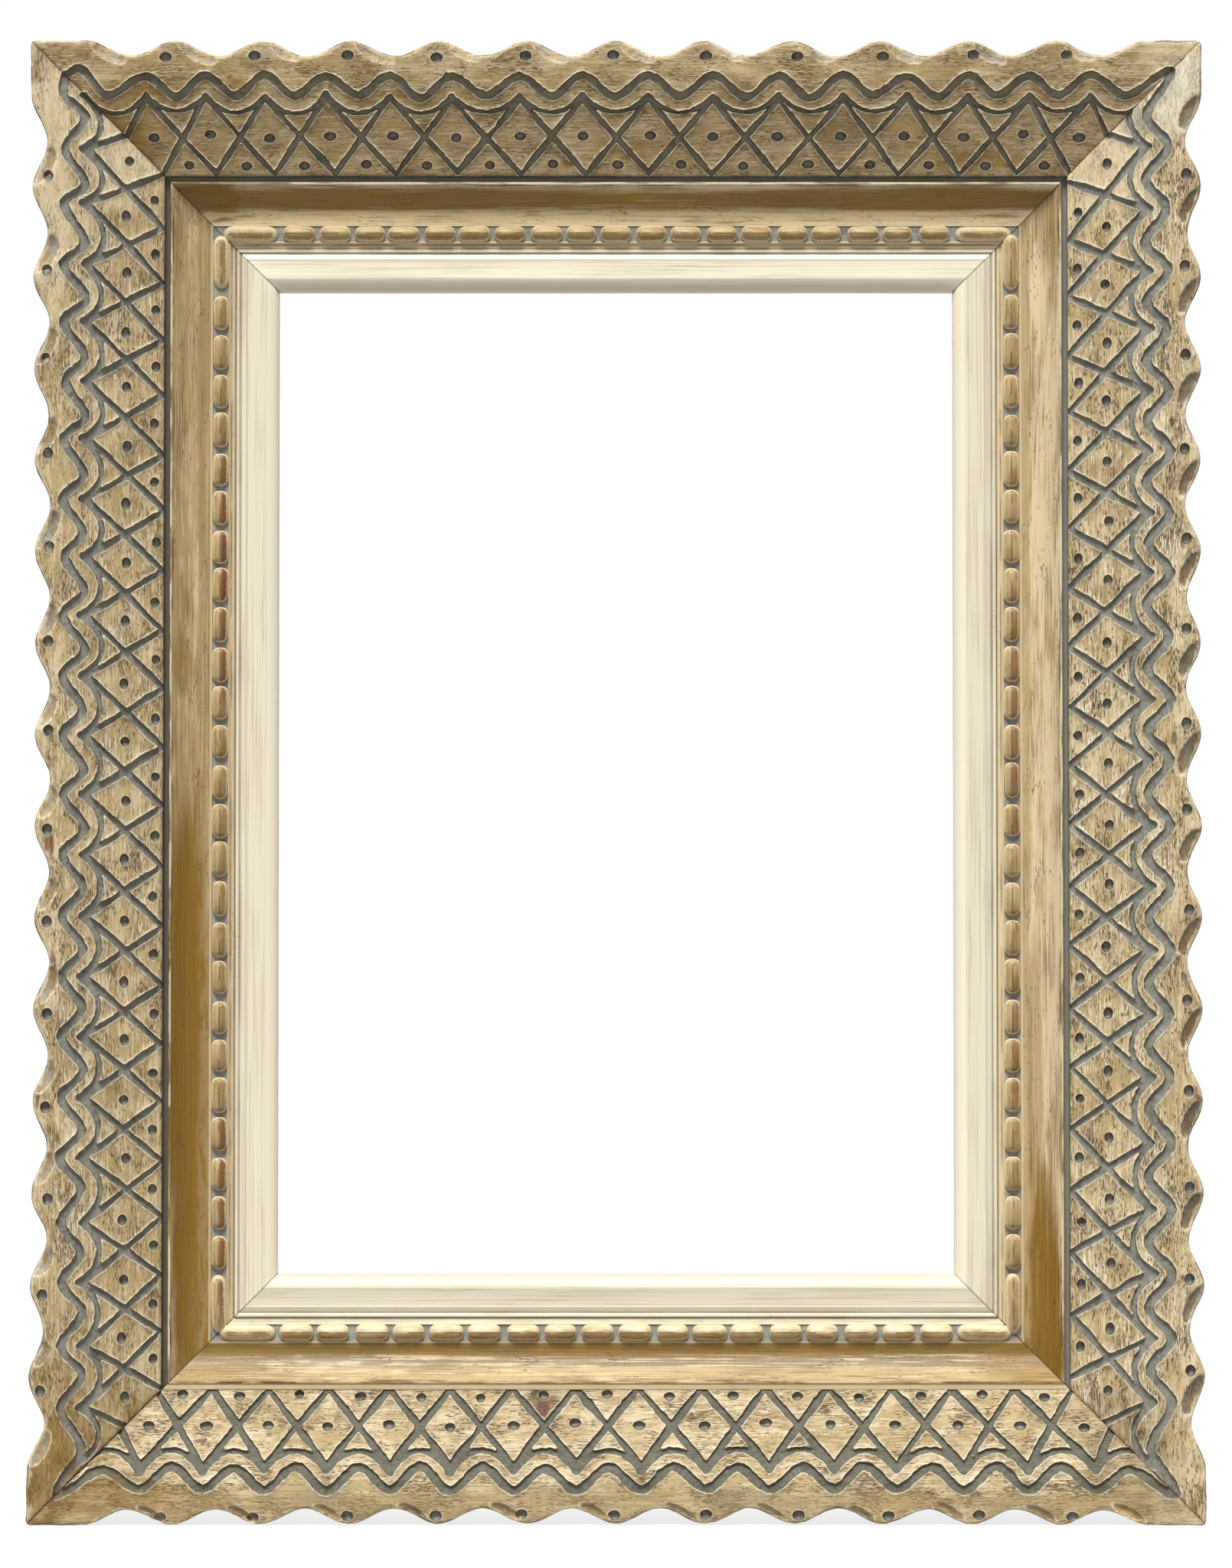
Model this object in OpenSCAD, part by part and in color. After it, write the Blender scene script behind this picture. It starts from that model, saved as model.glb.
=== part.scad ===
// Carved picture frame: four mitred rails with a scalloped rim, an applied cove and bead
// moulding inside them, a separate liner held from the back, and two hanging rings.
// Millimetres. The frame stands upright: +X right, +Z up, the front faces -Y.
// The origin is the centre of the picture opening, in the plane of the back.

/* [Picture] */
// Width of the opening that shows
sight_w = 343; // [250:1:500]
// Height of the opening that shows
sight_h = 499; // [300:1:800]
// Width of the ledge that the picture rests on
ledge_w = 7.5; // [5:0.5:10]
// Depth of the recess behind the ledge
ledge_depth = 8; // [5:0.5:10]

/* [Carved rail] */
// Width of the carved panel, from the crest of the rim to the groove
panel_w = 67; // [60:0.5:80]
// How much the panel rises from the groove to the rim
panel_rise = 15.5; // [8:0.5:22]
// Width of the nearly level band along the rim
band_w = 22; // [14:0.5:30]
// How much that band falls from the rim to the slope
band_fall = 1.8; // [0:0.1:3]
// Thickness of the shelf that carries the inner moulding
shelf_t = 12; // [10:0.5:16]
// Depth of the rim's scallops, crest to trough
scallop_depth = 7.8; // [4:0.2:10]
// Length of one scallop along the rim, fitted to a whole number
scallop_pitch = 45; // [35:1:60]
// Plain length of rim at each corner, up to the first trough
corner_land = 51; // [45:1:60]

/* [Carved cuts] */
// Depth of the grooves below the panel
cut_depth = 2; // [0.5:0.25:4]
// Width of the wave's groove
wave_w = 4.2; // [2:0.2:6]
// Distance of the wave's crests from the rim
wave_out = 17.7; // [16:0.1:20]
// Distance of the wave's troughs from the rim
wave_in = 28.8; // [25:0.1:30]
// Distance of the wave's turn on the mitre from both rims
wave_turn = 15.5; // [14:0.5:18]
// Distance of its last trough from the neighbouring rim
wave_last = 38.5; // [36:0.5:42]
// Width of the groove under the row of swags
swag_w = 3.2; // [2:0.2:4]
// Distance of the swags' points from the rim
swag_out = 27; // [25:0.1:29]
// Distance of the swags' bellies from the rim
swag_in = 36.6; // [34:0.1:39]
// Width of the lattice's grooves
lattice_w = 3.4; // [2:0.2:4]
// Distance of the diamonds' points from the rim
point_in = 31.8; // [30:0.1:34]
// Number of diamonds on the bottom rail
bottom_diamonds = 16; // [8:1:24]
// Number of diamonds on the right rail
right_diamonds = 21; // [10:1:32]
// Number of diamonds on the top rail
top_diamonds = 16; // [8:1:24]
// Number of diamonds on the left rail
left_diamonds = 22; // [10:1:32]
// Bottom diamonds' outer points: first and last from the ends, then stray of middle and halves
bottom_points = [57, 56, -3.8, 0]; // [-20:0.1:80]
// Right diamonds' outer points
right_points = [61, 54.5, 6, 0]; // [-20:0.1:80]
// Top diamonds' outer points
top_points = [56, 58.5, 1.5, 9]; // [-20:0.1:80]
// Left diamonds' outer points
left_points = [54, 59, -5, 0]; // [-20:0.1:80]
// Bottom diamonds' inner corners, given in the same way
bottom_apexes = [64, 66, -3.5, 8]; // [-20:0.1:80]
// Right diamonds' inner corners
right_apexes = [73, 71, 6.5, 0]; // [-20:0.1:80]
// Top diamonds' inner corners
top_apexes = [65, 66, 0.5, 13]; // [-20:0.1:80]
// Left diamonds' inner corners
left_apexes = [65, 68, 0, 8]; // [-20:0.1:80]

/* [Cove and bead moulding] */
// Width of the groove between the panel and the moulding
groove_w = 3; // [2:0.5:5]
// Depth of that groove
groove_depth = 4; // [2:0.5:6]
// Width of the moulding's outer lip
lip_w = 1.5; // [1:0.25:3]
// Width of the hollow of the cove
cove_w = 19.2; // [16:0.2:22]
// Rise of the cove from its floor to the lip
cove_rise = 11.5; // [8:0.5:14]
// Width of the row of beads
bead_w = 8.8; // [6:0.2:10]
// Number of beads on a short moulding
short_beads = 19; // [12:1:28]
// Number of beads on a long moulding
long_beads = 25; // [16:1:40]
// Width of the gap between two beads
bead_gap = 2.2; // [1:0.2:4]
// Plain length of the bead row at each mitre
bead_plain = 26.5; // [8:0.5:30]
// Width of the fillet inside the beads
fillet_w = 3.2; // [2:0.2:6]
// Step from the cove's floor down to the fillet
fillet_step = 1.4; // [0.5:0.1:3]
// Thickness of the moulding over the liner
cover_t = 3.1; // [2:0.1:5]
// Step from the shelf up to the liner's front
cover_step = 2.5; // [1.5:0.5:4]

/* [Liner] */
// Width of the liner that shows
liner_w = 21.8; // [16:0.2:30]
// Width of the liner that the moulding covers
liner_lap = 10.7; // [8:0.1:14]
// How far the liner's back lies inside the plane of the back
liner_set = 3; // [2:0.5:5]
// Thickness of the liner's edge in front of the picture
liner_edge_t = 5.5; // [3:0.5:8]
// Width of the bevel at the opening
bevel_w = 6.5; // [4:0.5:9]
// Rise of the bevel from the opening to the liner's crown
bevel_rise = 4.5; // [2:0.5:6]
// Width of the raised line along the liner's outer edge
line_w = 1.8; // [1:0.2:3]
// Height of that line above the fillet
line_rise = 0.8; // [0.4:0.1:1.2]

/* [Joinery] */
// Diameter of the corner nails
nail_d = 3.4; // [2.4:0.2:4.4]
// Length of the corner nails
nail_len = 72; // [60:1:80]
// Distance of a corner nail from the neighbouring rim
nail_in = 22; // [18:1:26]
// Height of the nails in the top and bottom rails
nail_low = 13; // [9:0.5:14]
// Height of the nails in the side rails
nail_high = 25; // [24:0.5:28]
// Length of the tongue inside each mitre
tongue_len = 52; // [30:1:56]
// Width of the tongue across the mitre
tongue_w = 28; // [16:1:30]
// Thickness of the tongue
tongue_t = 4; // [3:0.5:5]
// Height of the tongue's middle above the back
tongue_h = 19; // [18.5:0.5:20]
// Distance of the tongue's middle from both rims
tongue_in = 35; // [33:1:36]
// Diameter of the pins through the cove
pin_d = 1.4; // [1:0.1:2]
// Length of those pins
pin_len = 16; // [13:1:18]
// Depth of the pins' heads below the cove
pin_sink = 0.5; // [0.2:0.1:1]
// Number of pins in a short moulding
short_pins = 3; // [2:1:5]
// Number of pins in a long moulding
long_pins = 4; // [2:1:6]
// Length of a retaining point
point_len = 14; // [10:1:16]
// Width of a retaining point
point_w = 8; // [5:1:10]
// Thickness of a retaining point
point_t = 0.6; // [0.4:0.1:1]
// Number of retaining points on a short rail
short_points = 2; // [1:1:4]
// Number of retaining points on a long rail
long_points = 3; // [1:1:5]

/* [Hangers] */
// Distance of the hangers from the side rims
hanger_in = 45; // [35:1:60]
// Distance of the hanging rings' axis below the top rim
hanger_down = 250; // [120:5:300]
// Width of a hanger's strap
strap_w = 14; // [10:0.5:16]
// Length of a strap from the axis to its end
strap_len = 44; // [42:1:60]
// Thickness of the sheet that the strap is folded from
strap_t = 1.2; // [0.8:0.1:1.5]
// Diameter of the ring's wire
wire_d = 2.5; // [2:0.1:3]
// Inside width of the ring
ring_w = 20; // [20:0.5:26]
// Length of the ring's straight legs, from the axis
ring_leg = 6; // [5:0.5:8]
// Radius of the ring's two corners
ring_bend = 3; // [2.6:0.1:4]
// Distance of the first screw below the axis
first_screw = 26; // [25:0.5:27]
// Distance from the first screw to the second
screw_gap = 12; // [9:0.5:13]
// Diameter of the screws
screw_d = 3.5; // [3:0.1:4]
// Length of the screws under the head
screw_len = 16; // [12:1:25]
// Diameter of the screw heads
screw_head_d = 7; // [6:0.2:8]
// Height of the screw heads
screw_head_t = 2.2; // [1.6:0.1:3]

/* [Fits] */
// Gap around the liner and the seam beside the moulding
seam = 0.3; // [0.1:0.05:0.6]
// Clearance around a tongue in its slot
tongue_fit = 0.15; // [0.05:0.05:0.3]
// Clearance around nails, pins, points and screws in the wood
driven_fit = 0.03; // [0.01:0.01:0.1]
// Radial clearance of the ring's wire in the strap's eye
ring_fit = 0.08; // [0.03:0.01:0.1]
// Gap between the hanging ring and the strap behind it
ring_gap = 0.35; // [0.2:0.05:0.6]

/* [Hidden] */

// Distances in from the crest of the rim
in_lip = panel_w + groove_w;
in_cove = in_lip + lip_w;
in_bead = in_cove + cove_w;
in_fillet = in_bead + bead_w;
in_liner = in_fillet + fillet_w;
in_sight = in_liner + liner_w;
in_shelf_end = in_liner - liner_lap;
in_ledge = in_sight - ledge_w;

// Heights above the plane of the back
h_cover = shelf_t + cover_step;
h_fillet = h_cover + cover_t;
h_floor = h_fillet + fillet_step;
h_panel = h_floor + cove_rise;
h_rim = h_panel + panel_rise;
h_ledge = liner_set + ledge_depth;
h_sight = h_ledge + liner_edge_t;
h_crown = h_sight + bevel_rise;

outer_w = sight_w + 2 * in_sight;
outer_h = sight_h + 2 * in_sight;

// The cove is an arc that ends flat at its floor
cove_r = (cove_w * cove_w + cove_rise * cove_rise) / (2 * cove_rise);
cove_sweep = asin(cove_w / cove_r);
cove_steps = 12;
scallop_steps = 12;

// Each side is drawn as the bottom one and turned about the middle of the opening
BOTTOM = 0;
RIGHT = 1;
TOP = 2;
LEFT = 3;
function is_short(side) = side == BOTTOM || side == TOP;
function side_len(side) = is_short(side) ? outer_w : outer_h;
function rim_distance(side) = (is_short(side) ? outer_h : outer_w) / 2;

// The diamonds of each side, in that order
diamonds = [bottom_diamonds, right_diamonds, top_diamonds, left_diamonds];
point_runs = [bottom_points, right_points, top_points, left_points];
apex_runs = [bottom_apexes, right_apexes, top_apexes, left_apexes];

// The hanging rings
strap_fold_t = 2 * strap_t;
wire_r = wire_d / 2;
eye_r = wire_r + ring_fit;
axis_out = strap_fold_t + wire_r + ring_gap;
ring_half = ring_w / 2 + wire_r;
hanger_x = outer_w / 2 - hanger_in;
hanger_y = outer_h / 2 - hanger_down;

wood = "#c9b283";
moulding_tan = "#b39a5e";
liner_ivory = "#e9e2cc";
steel = "#8d8f92";
brass = "#b9974e";

$fn = 48;

// Placing

// Stands the frame up from lying on its back, where +Y is up the picture and +Z the front
module upright() rotate([90, 0, 0]) children();

// Children are drawn with x along the side, y in from the rim and z up from the back
module on_side(side)
    rotate([0, 0, 90 * side])
        translate([0, -rim_distance(side), 0])
            children();

// Children are a section with x in from the rim and y up from the back
module along(length)
    rotate([90, 0, 90])
        linear_extrude(height = length, center = true)
            children();

module mitred_plan(length)
    polygon([
        [-length / 2, 0],
        [length / 2, 0],
        [length / 2 - in_sight, in_sight],
        [in_sight - length / 2, in_sight]
    ]);

// Sections

module rail_section()
    polygon([
        [0, 0],
        [0, h_rim],
        [band_w, h_rim - band_fall],
        [panel_w, h_panel],
        [panel_w, shelf_t],
        [in_shelf_end, shelf_t],
        [in_shelf_end, 0]
    ]);

function cove_points() = [
    for (i = [0 : cove_steps])
        let (a = cove_sweep * (1 - i / cove_steps))
            [in_bead - cove_r * sin(a), h_floor + cove_r * (1 - cos(a))]
];

module moulding_section()
    polygon(concat(
        [
            [panel_w + seam / 2, shelf_t],
            [panel_w + seam / 2, h_panel - groove_depth],
            [in_lip, h_panel - groove_depth],
            [in_lip, h_panel]
        ],
        cove_points(),
        [
            [in_fillet, h_floor],
            [in_fillet, h_fillet],
            [in_liner - seam, h_fillet],
            [in_liner - seam, h_cover],
            [in_shelf_end, h_cover],
            [in_shelf_end, shelf_t]
        ]
    ));

module liner_section() {
    h_line = h_fillet + line_rise;
    polygon([
        [in_shelf_end + seam, liner_set],
        [in_shelf_end + seam, h_cover - seam],
        [in_liner, h_cover - seam],
        [in_liner, h_line],
        [in_liner + line_w, h_line],
        [in_liner + line_w, h_fillet],
        [in_sight - bevel_w, h_crown],
        [in_sight - bevel_w / 3, h_crown - bevel_rise / 3],
        [in_sight, h_sight],
        [in_sight, h_ledge],
        [in_ledge, h_ledge],
        [in_ledge, liner_set]
    ]);
}

// Carved rails

// How far the rim lies in from its crests, at a distance x from one end
function scallop(x, length, pitch) =
    (x < corner_land - pitch / 2 || x > length - corner_land + pitch / 2)
        ? 0
        : scallop_depth * (1 + cos(360 * (x - corner_land) / pitch)) / 2;

module scalloped_plan(length) {
    run = length - 2 * corner_land;
    count = round(run / scallop_pitch);
    pitch = run / count;
    steps = (count + 1) * scallop_steps;
    start = corner_land - pitch / 2;
    rim = [
        for (i = [0 : steps])
            let (x = start + i * pitch / scallop_steps)
                [x - length / 2, scallop(x, length, pitch)]
    ];
    polygon(concat(
        [[-length / 2, 0]],
        rim,
        [
            [length / 2, 0],
            [length / 2 - in_sight, in_sight],
            [in_sight - length / 2, in_sight]
        ]
    ));
}

// Places of the diamonds' points or inner corners along a side, from its middle. They are set
// out evenly between the first and the last, then stray as a hand does; past both ends they go on.
function place(run, side, i) =
    let (
        length = side_len(side),
        t = 2 * i / (diamonds[side] - 1) - 1,
        first = run[0] - length / 2,
        last = length / 2 - run[1]
    )
        (first + last) / 2 + (last - first) / 2 * t + (run[2] + run[3] * t) * max(0, 1 - t * t);

function point_x(side, i) = place(point_runs[side], side, i);
function apex_x(side, i) = place(apex_runs[side], side, i);

// Half a wave: flat at both ends, with a straight flank
function wave_rise(t) = (1 - cos(180 * t)) / 4 + t / 2;

function wave_line(side) =
    let (
        half = side_len(side) / 2,
        last = diamonds[side] - 1,
        turns = concat(
            [[wave_turn - half, wave_turn], [wave_last - half, wave_in]],
            [
                for (i = [0 : 2 * last])
                    i % 2 == 0
                        ? [point_x(side, i / 2), wave_out]
                        : [(point_x(side, (i - 1) / 2) + point_x(side, (i + 1) / 2)) / 2, wave_in]
            ],
            [[half - wave_last, wave_in], [half - wave_turn, wave_turn]]
        )
    )
        concat(
            [[wave_turn / 2 - half, wave_turn]],
            [
                for (i = [0 : len(turns) - 2], t = [0, 0.25, 0.75])
                    let (a = turns[i], b = turns[i + 1])
                        [a[0] + (b[0] - a[0]) * t, a[1] + (b[1] - a[1]) * wave_rise(t)]
            ],
            [turns[len(turns) - 1], [half - wave_turn / 2, wave_turn]]
        );

// The swags hang from cusp to cusp
function swag_line(side) = [
    for (i = [-1 : diamonds[side] - 1], t = [0, 0.2, 0.5, 0.8])
        let (a = point_x(side, i), b = point_x(side, i + 1), s = abs(2 * t - 1))
            [a + (b - a) * t, swag_in - (swag_in - swag_out) * s * s]
];

// The lattice is two zigzags, each between the points of every other diamond and the inner
// corners of the diamonds between them
function zigzag_line(side, first) = [
    for (i = [-1 : diamonds[side]])
        (i + first) % 2 == 0 ? [point_x(side, i), point_in] : [apex_x(side, i), panel_w]
];

function unit(v) = v / norm(v);

// The point of a line moved sideways by a distance, square to both of the lines that meet there
function beside(line, i, away) =
    let (
        last = len(line) - 1,
        before = unit(line[max(i, 1)] - line[max(i, 1) - 1]),
        after = unit(line[min(i, last - 1) + 1] - line[min(i, last - 1)]),
        middle = unit(before + after)
    )
        line[i] + [-middle[1], middle[0]] * away / (middle * before);

module groove(line, width)
    translate([0, 0, h_panel - 2 * cut_depth])
        linear_extrude(height = h_rim)
            polygon(concat(
                [for (i = [0 : len(line) - 1]) beside(line, i, width / 2)],
                [for (i = [len(line) - 1 : -1 : 0]) beside(line, i, -width / 2)]
            ));

// What the grooves take away lies between the panel and a face that runs below it
module cut_section() {
    past = 1;
    slope = (h_rim - band_fall - h_panel) / (panel_w - band_w);
    polygon([
        [0, h_rim + past],
        [0, h_rim - cut_depth],
        [band_w, h_rim - band_fall - cut_depth],
        [panel_w + past, h_panel - cut_depth - slope * past],
        [panel_w + past, h_rim + past]
    ]);
}

module carved_cuts(side)
    on_side(side)
        intersection() {
            along(side_len(side)) cut_section();
            union() {
                groove(wave_line(side), wave_w);
                groove(swag_line(side), swag_w);
                groove(zigzag_line(side, 0), lattice_w);
                groove(zigzag_line(side, 1), lattice_w);
            }
        }

module carved_rail(side) {
    length = side_len(side);
    color(wood)
        upright()
            difference() {
                on_side(side)
                    intersection() {
                        along(length) rail_section();
                        linear_extrude(height = h_rim) scalloped_plan(length);
                    }
                carved_cuts(side);
                for (other = [side, (side + 1) % 4, (side + 3) % 4])
                    nail_group(other, driven_fit);
                for (corner = [side, (side + 3) % 4])
                    tongue(corner, tongue_fit);
                pin_group(side, driven_fit);
                point_group(side, driven_fit);
                if (!is_short(side))
                    screw_pair(side == LEFT ? -1 : 1, driven_fit);
            }
}

// Cove and bead moulding

module bead_gaps(side) {
    run = side_len(side) - 2 * (in_fillet + bead_plain);
    count = is_short(side) ? short_beads : long_beads;
    pitch = run / count;
    for (i = [0 : count])
        translate([i * pitch - run / 2 - bead_gap / 2, in_bead, h_floor])
            cube([bead_gap, bead_w, bead_w]);
}

module cove_moulding(side) {
    length = side_len(side);
    color(moulding_tan)
        upright()
            difference() {
                on_side(side)
                    intersection() {
                        union() {
                            along(length) moulding_section();
                            difference() {
                                along(length)
                                    intersection() {
                                        translate([in_bead + bead_w / 2, h_floor])
                                            circle(d = bead_w);
                                        translate([in_bead, h_floor - fillet_step / 2])
                                            square([bead_w, bead_w]);
                                    }
                                bead_gaps(side);
                            }
                        }
                        linear_extrude(height = h_rim) mitred_plan(length);
                    }
                pin_group(side, driven_fit);
            }
}

// Liner

module liner_rail(side) {
    length = side_len(side);
    color(liner_ivory)
        upright()
            on_side(side)
                intersection() {
                    along(length) liner_section();
                    linear_extrude(height = h_rim) mitred_plan(length);
                }
}

// Tongues, nails, pins and points; a clearance above 0 makes the hole for one

// The tongue of the corner at the right-hand end of a side drawn as the bottom one
module tongue(corner, clearance = 0) {
    size = [tongue_len + 2 * clearance, tongue_w + 2 * clearance, tongue_t + 2 * clearance];
    on_side(corner)
        translate([side_len(corner) / 2 - tongue_in, tongue_in, tongue_h])
            rotate([0, 0, 135])
                cube(size, center = true);
}

module nail_group(side, clearance = 0) {
    head_r = nail_d;
    for (end = [-1, 1])
        on_side(side)
            translate([
                end * (side_len(side) / 2 - nail_in),
                0,
                is_short(side) ? nail_low : nail_high
            ])
                rotate([-90, 0, 0]) {
                    cylinder(r = nail_d / 2 + clearance, h = nail_len + clearance);
                    cylinder(r = head_r + clearance, h = nail_d / 2 + clearance);
                }
}

module pin_group(side, clearance = 0) {
    count = is_short(side) ? short_pins : long_pins;
    run = side_len(side) - 2 * in_sight;
    in_pin = in_bead - cove_w / 2;
    h_surface = h_floor + cove_r - sqrt(cove_r * cove_r - cove_w * cove_w / 4);
    for (i = [0 : count - 1])
        on_side(side)
            translate([
                (i + 0.5) * run / count - run / 2,
                in_pin,
                h_surface - pin_sink - pin_len - clearance
            ])
                cylinder(
                    r = pin_d / 2 + clearance,
                    h = pin_len + 2 * clearance,
                    $fn = 24
                );
}

module point_group(side, clearance = 0) {
    count = is_short(side) ? short_points : long_points;
    run = side_len(side) - 2 * in_sight;
    grow = [2 * clearance, 2 * clearance, clearance];
    for (i = [0 : count - 1])
        on_side(side)
            translate([
                (i + 0.5) * run / count - run / 2 - point_w / 2 - clearance,
                in_shelf_end - point_len / 2 - clearance,
                liner_set - point_t - clearance
            ])
                cube([point_w, point_len, point_t] + grow);
}

module mitre_tongue(corner)
    color(wood) upright() tongue(corner);

module corner_nails()
    color(steel)
        upright()
            for (side = [BOTTOM : LEFT])
                nail_group(side);

module moulding_pins()
    color(steel)
        upright()
            for (side = [BOTTOM : LEFT])
                pin_group(side);

module liner_points()
    color(steel)
        upright()
            for (side = [BOTTOM : LEFT])
                point_group(side);

// Hangers, drawn with x across, y up and z towards the front, from the ring's axis

module at_hanger(hand)
    upright()
        translate([hand * hanger_x, hanger_y, -axis_out])
            children();

// Screws go in from the back; a clearance above 0 makes their holes
module screw_pair(hand, clearance = 0)
    for (i = [0, 1])
        translate([hand * hanger_x, hanger_y - first_screw - i * screw_gap, -strap_fold_t]) {
            cylinder(r = screw_d / 2 + clearance, h = strap_fold_t + screw_len + clearance);
            translate([0, 0, -screw_head_t])
                cylinder(d = screw_head_d, h = screw_head_t);
        }

module hanger_strap(hand) {
    color(brass)
        difference() {
            at_hanger(hand)
                difference() {
                    union() {
                        translate([-strap_w / 2, -strap_len, axis_out - strap_fold_t])
                            cube([strap_w, strap_len, strap_fold_t]);
                        rotate([0, 90, 0])
                            cylinder(r = eye_r + strap_t, h = strap_w, center = true);
                    }
                    rotate([0, 90, 0])
                        cylinder(r = eye_r, h = 2 * strap_w, center = true);
                }
            upright() screw_pair(hand, driven_fit);
        }
}

module hanger_ring(hand) {
    color(steel)
        at_hanger(hand) {
            rotate([0, 90, 0])
                cylinder(r = wire_r, h = 2 * (ring_half - ring_bend), center = true);
            for (end = [-1, 1]) {
                translate([end * (ring_half - ring_bend), -ring_bend, 0])
                    rotate([0, 0, end > 0 ? 0 : 90])
                        rotate_extrude(angle = 90)
                            translate([ring_bend, 0]) circle(r = wire_r);
                translate([end * ring_half, -ring_bend, 0])
                    rotate([90, 0, 0])
                        cylinder(r = wire_r, h = ring_leg - ring_bend);
            }
            translate([0, -ring_leg, 0])
                rotate([0, 0, 180])
                    rotate_extrude(angle = 180)
                        translate([ring_half, 0]) circle(r = wire_r);
        }
}

module hanger_screws()
    color(brass)
        upright()
            for (hand = [-1, 1])
                screw_pair(hand);

carved_rail(TOP);  // carved_rail_top
carved_rail(BOTTOM);  // carved_rail_bottom
carved_rail(LEFT);  // carved_rail_left
carved_rail(RIGHT);  // carved_rail_right
cove_moulding(TOP);  // cove_moulding_top
cove_moulding(BOTTOM);  // cove_moulding_bottom
cove_moulding(LEFT);  // cove_moulding_left
cove_moulding(RIGHT);  // cove_moulding_right
liner_rail(TOP);  // liner_rail_top
liner_rail(BOTTOM);  // liner_rail_bottom
liner_rail(LEFT);  // liner_rail_left
liner_rail(RIGHT);  // liner_rail_right
mitre_tongue(BOTTOM);  // mitre_tongue_bottom_right
mitre_tongue(RIGHT);  // mitre_tongue_top_right
mitre_tongue(TOP);  // mitre_tongue_top_left
mitre_tongue(LEFT);  // mitre_tongue_bottom_left
corner_nails();
moulding_pins();
liner_points();
hanger_strap(-1);  // hanger_strap_left
hanger_strap(1);  // hanger_strap_right
hanger_ring(-1);  // hanger_ring_left
hanger_ring(1);  // hanger_ring_right
hanger_screws();
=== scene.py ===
import math

import bpy
import numpy as np
from mathutils import Matrix, Vector
from mathutils.geometry import delaunay_2d_cdt


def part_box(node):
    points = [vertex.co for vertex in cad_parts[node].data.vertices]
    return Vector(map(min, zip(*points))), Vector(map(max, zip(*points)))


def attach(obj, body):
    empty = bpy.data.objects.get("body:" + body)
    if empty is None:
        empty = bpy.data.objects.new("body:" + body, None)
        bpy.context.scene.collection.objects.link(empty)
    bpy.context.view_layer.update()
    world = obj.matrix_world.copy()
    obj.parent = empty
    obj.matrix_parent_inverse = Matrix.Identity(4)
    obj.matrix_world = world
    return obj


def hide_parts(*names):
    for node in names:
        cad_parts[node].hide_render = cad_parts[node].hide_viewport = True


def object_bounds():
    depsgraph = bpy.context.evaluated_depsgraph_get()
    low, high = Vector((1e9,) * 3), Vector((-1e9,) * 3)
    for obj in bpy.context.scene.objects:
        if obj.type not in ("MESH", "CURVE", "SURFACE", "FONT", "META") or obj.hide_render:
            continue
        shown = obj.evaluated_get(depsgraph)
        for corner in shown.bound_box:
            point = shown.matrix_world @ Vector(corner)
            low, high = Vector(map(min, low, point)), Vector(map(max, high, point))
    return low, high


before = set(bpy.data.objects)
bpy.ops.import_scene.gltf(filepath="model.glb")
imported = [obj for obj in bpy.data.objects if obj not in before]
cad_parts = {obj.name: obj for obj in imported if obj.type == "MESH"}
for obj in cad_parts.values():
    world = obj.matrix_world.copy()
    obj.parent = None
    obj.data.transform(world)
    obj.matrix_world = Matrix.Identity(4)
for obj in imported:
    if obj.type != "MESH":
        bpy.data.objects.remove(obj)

# An old picture frame that stands upright: four carved rails with a scalloped rim, an applied
# cove moulding with a row of beads, and a liner. Metres, the front faces -Y.
# A side is worked out lying down as the bottom one, in millimetres: x along it, u in from the
# rim, h up from the back. That way the same cuts serve all four sides.

cad_low, cad_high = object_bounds()
MM = 0.001

# Sizes that the construction already settles, in millimetres
rail_low, rail_high = (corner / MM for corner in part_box("carved_rail_bottom"))
cove_low, cove_high = (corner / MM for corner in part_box("cove_moulding_bottom"))
liner_low, liner_high = (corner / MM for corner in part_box("liner_rail_bottom"))
OUTER_W = 2 * rail_high.x
OUTER_H = 2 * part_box("carved_rail_right")[1].z / MM
RIM_H = -rail_low.y
SHELF_END = rail_high.z + OUTER_H / 2
IN_MOULDING = cove_low.z + OUTER_H / 2
IN_LINER = cove_high.z + OUTER_H / 2
IN_SIGHT = liner_high.z + OUTER_H / 2
PANEL_H = -cove_low.y
SHELF_H = -cove_high.y
LINER_BACK = -liner_high.y
CROWN_H = -liner_low.y

# The carved panel, and the gap that parts it from the moulding
FIT = 0.15
PANEL_W = IN_MOULDING - FIT
BAND_W = 22.0
BAND_FALL = 1.8
BLEND_W = 5.0
SCALLOP_DEEP = 7.8
SCALLOP_PITCH = 45.0
CORNER_LAND = 51.0
# Half the width of a mitre's seam, square to it and along the side
SEAM_HALF = 0.05
SEAM_IN = SEAM_HALF * math.sqrt(2)

# Heights of the inner mouldings above the back
FLOOR_H = 19.0
FILLET_H = 17.6
LEDGE_H = 11.0
SIGHT_EDGE_H = 16.5

TURNS = {"bottom": 0, "right": 1, "top": 2, "left": 3}
SIDES = list(TURNS)


def is_short(side):
    return side in ("bottom", "top")


def length_of(side):
    return OUTER_W if is_short(side) else OUTER_H


def stand_up(side):
    """The turn and move from a side lying down as the bottom one, in metres, to its real place."""
    reach = (OUTER_H if is_short(side) else OUTER_W) / 2 * MM
    quarter = Matrix.Rotation(math.radians(90 * TURNS[side]), 4, "Z")
    upright = Matrix.Rotation(math.radians(90), 4, "X")
    return upright @ quarter @ Matrix.Translation((0, -reach, 0))


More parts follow.
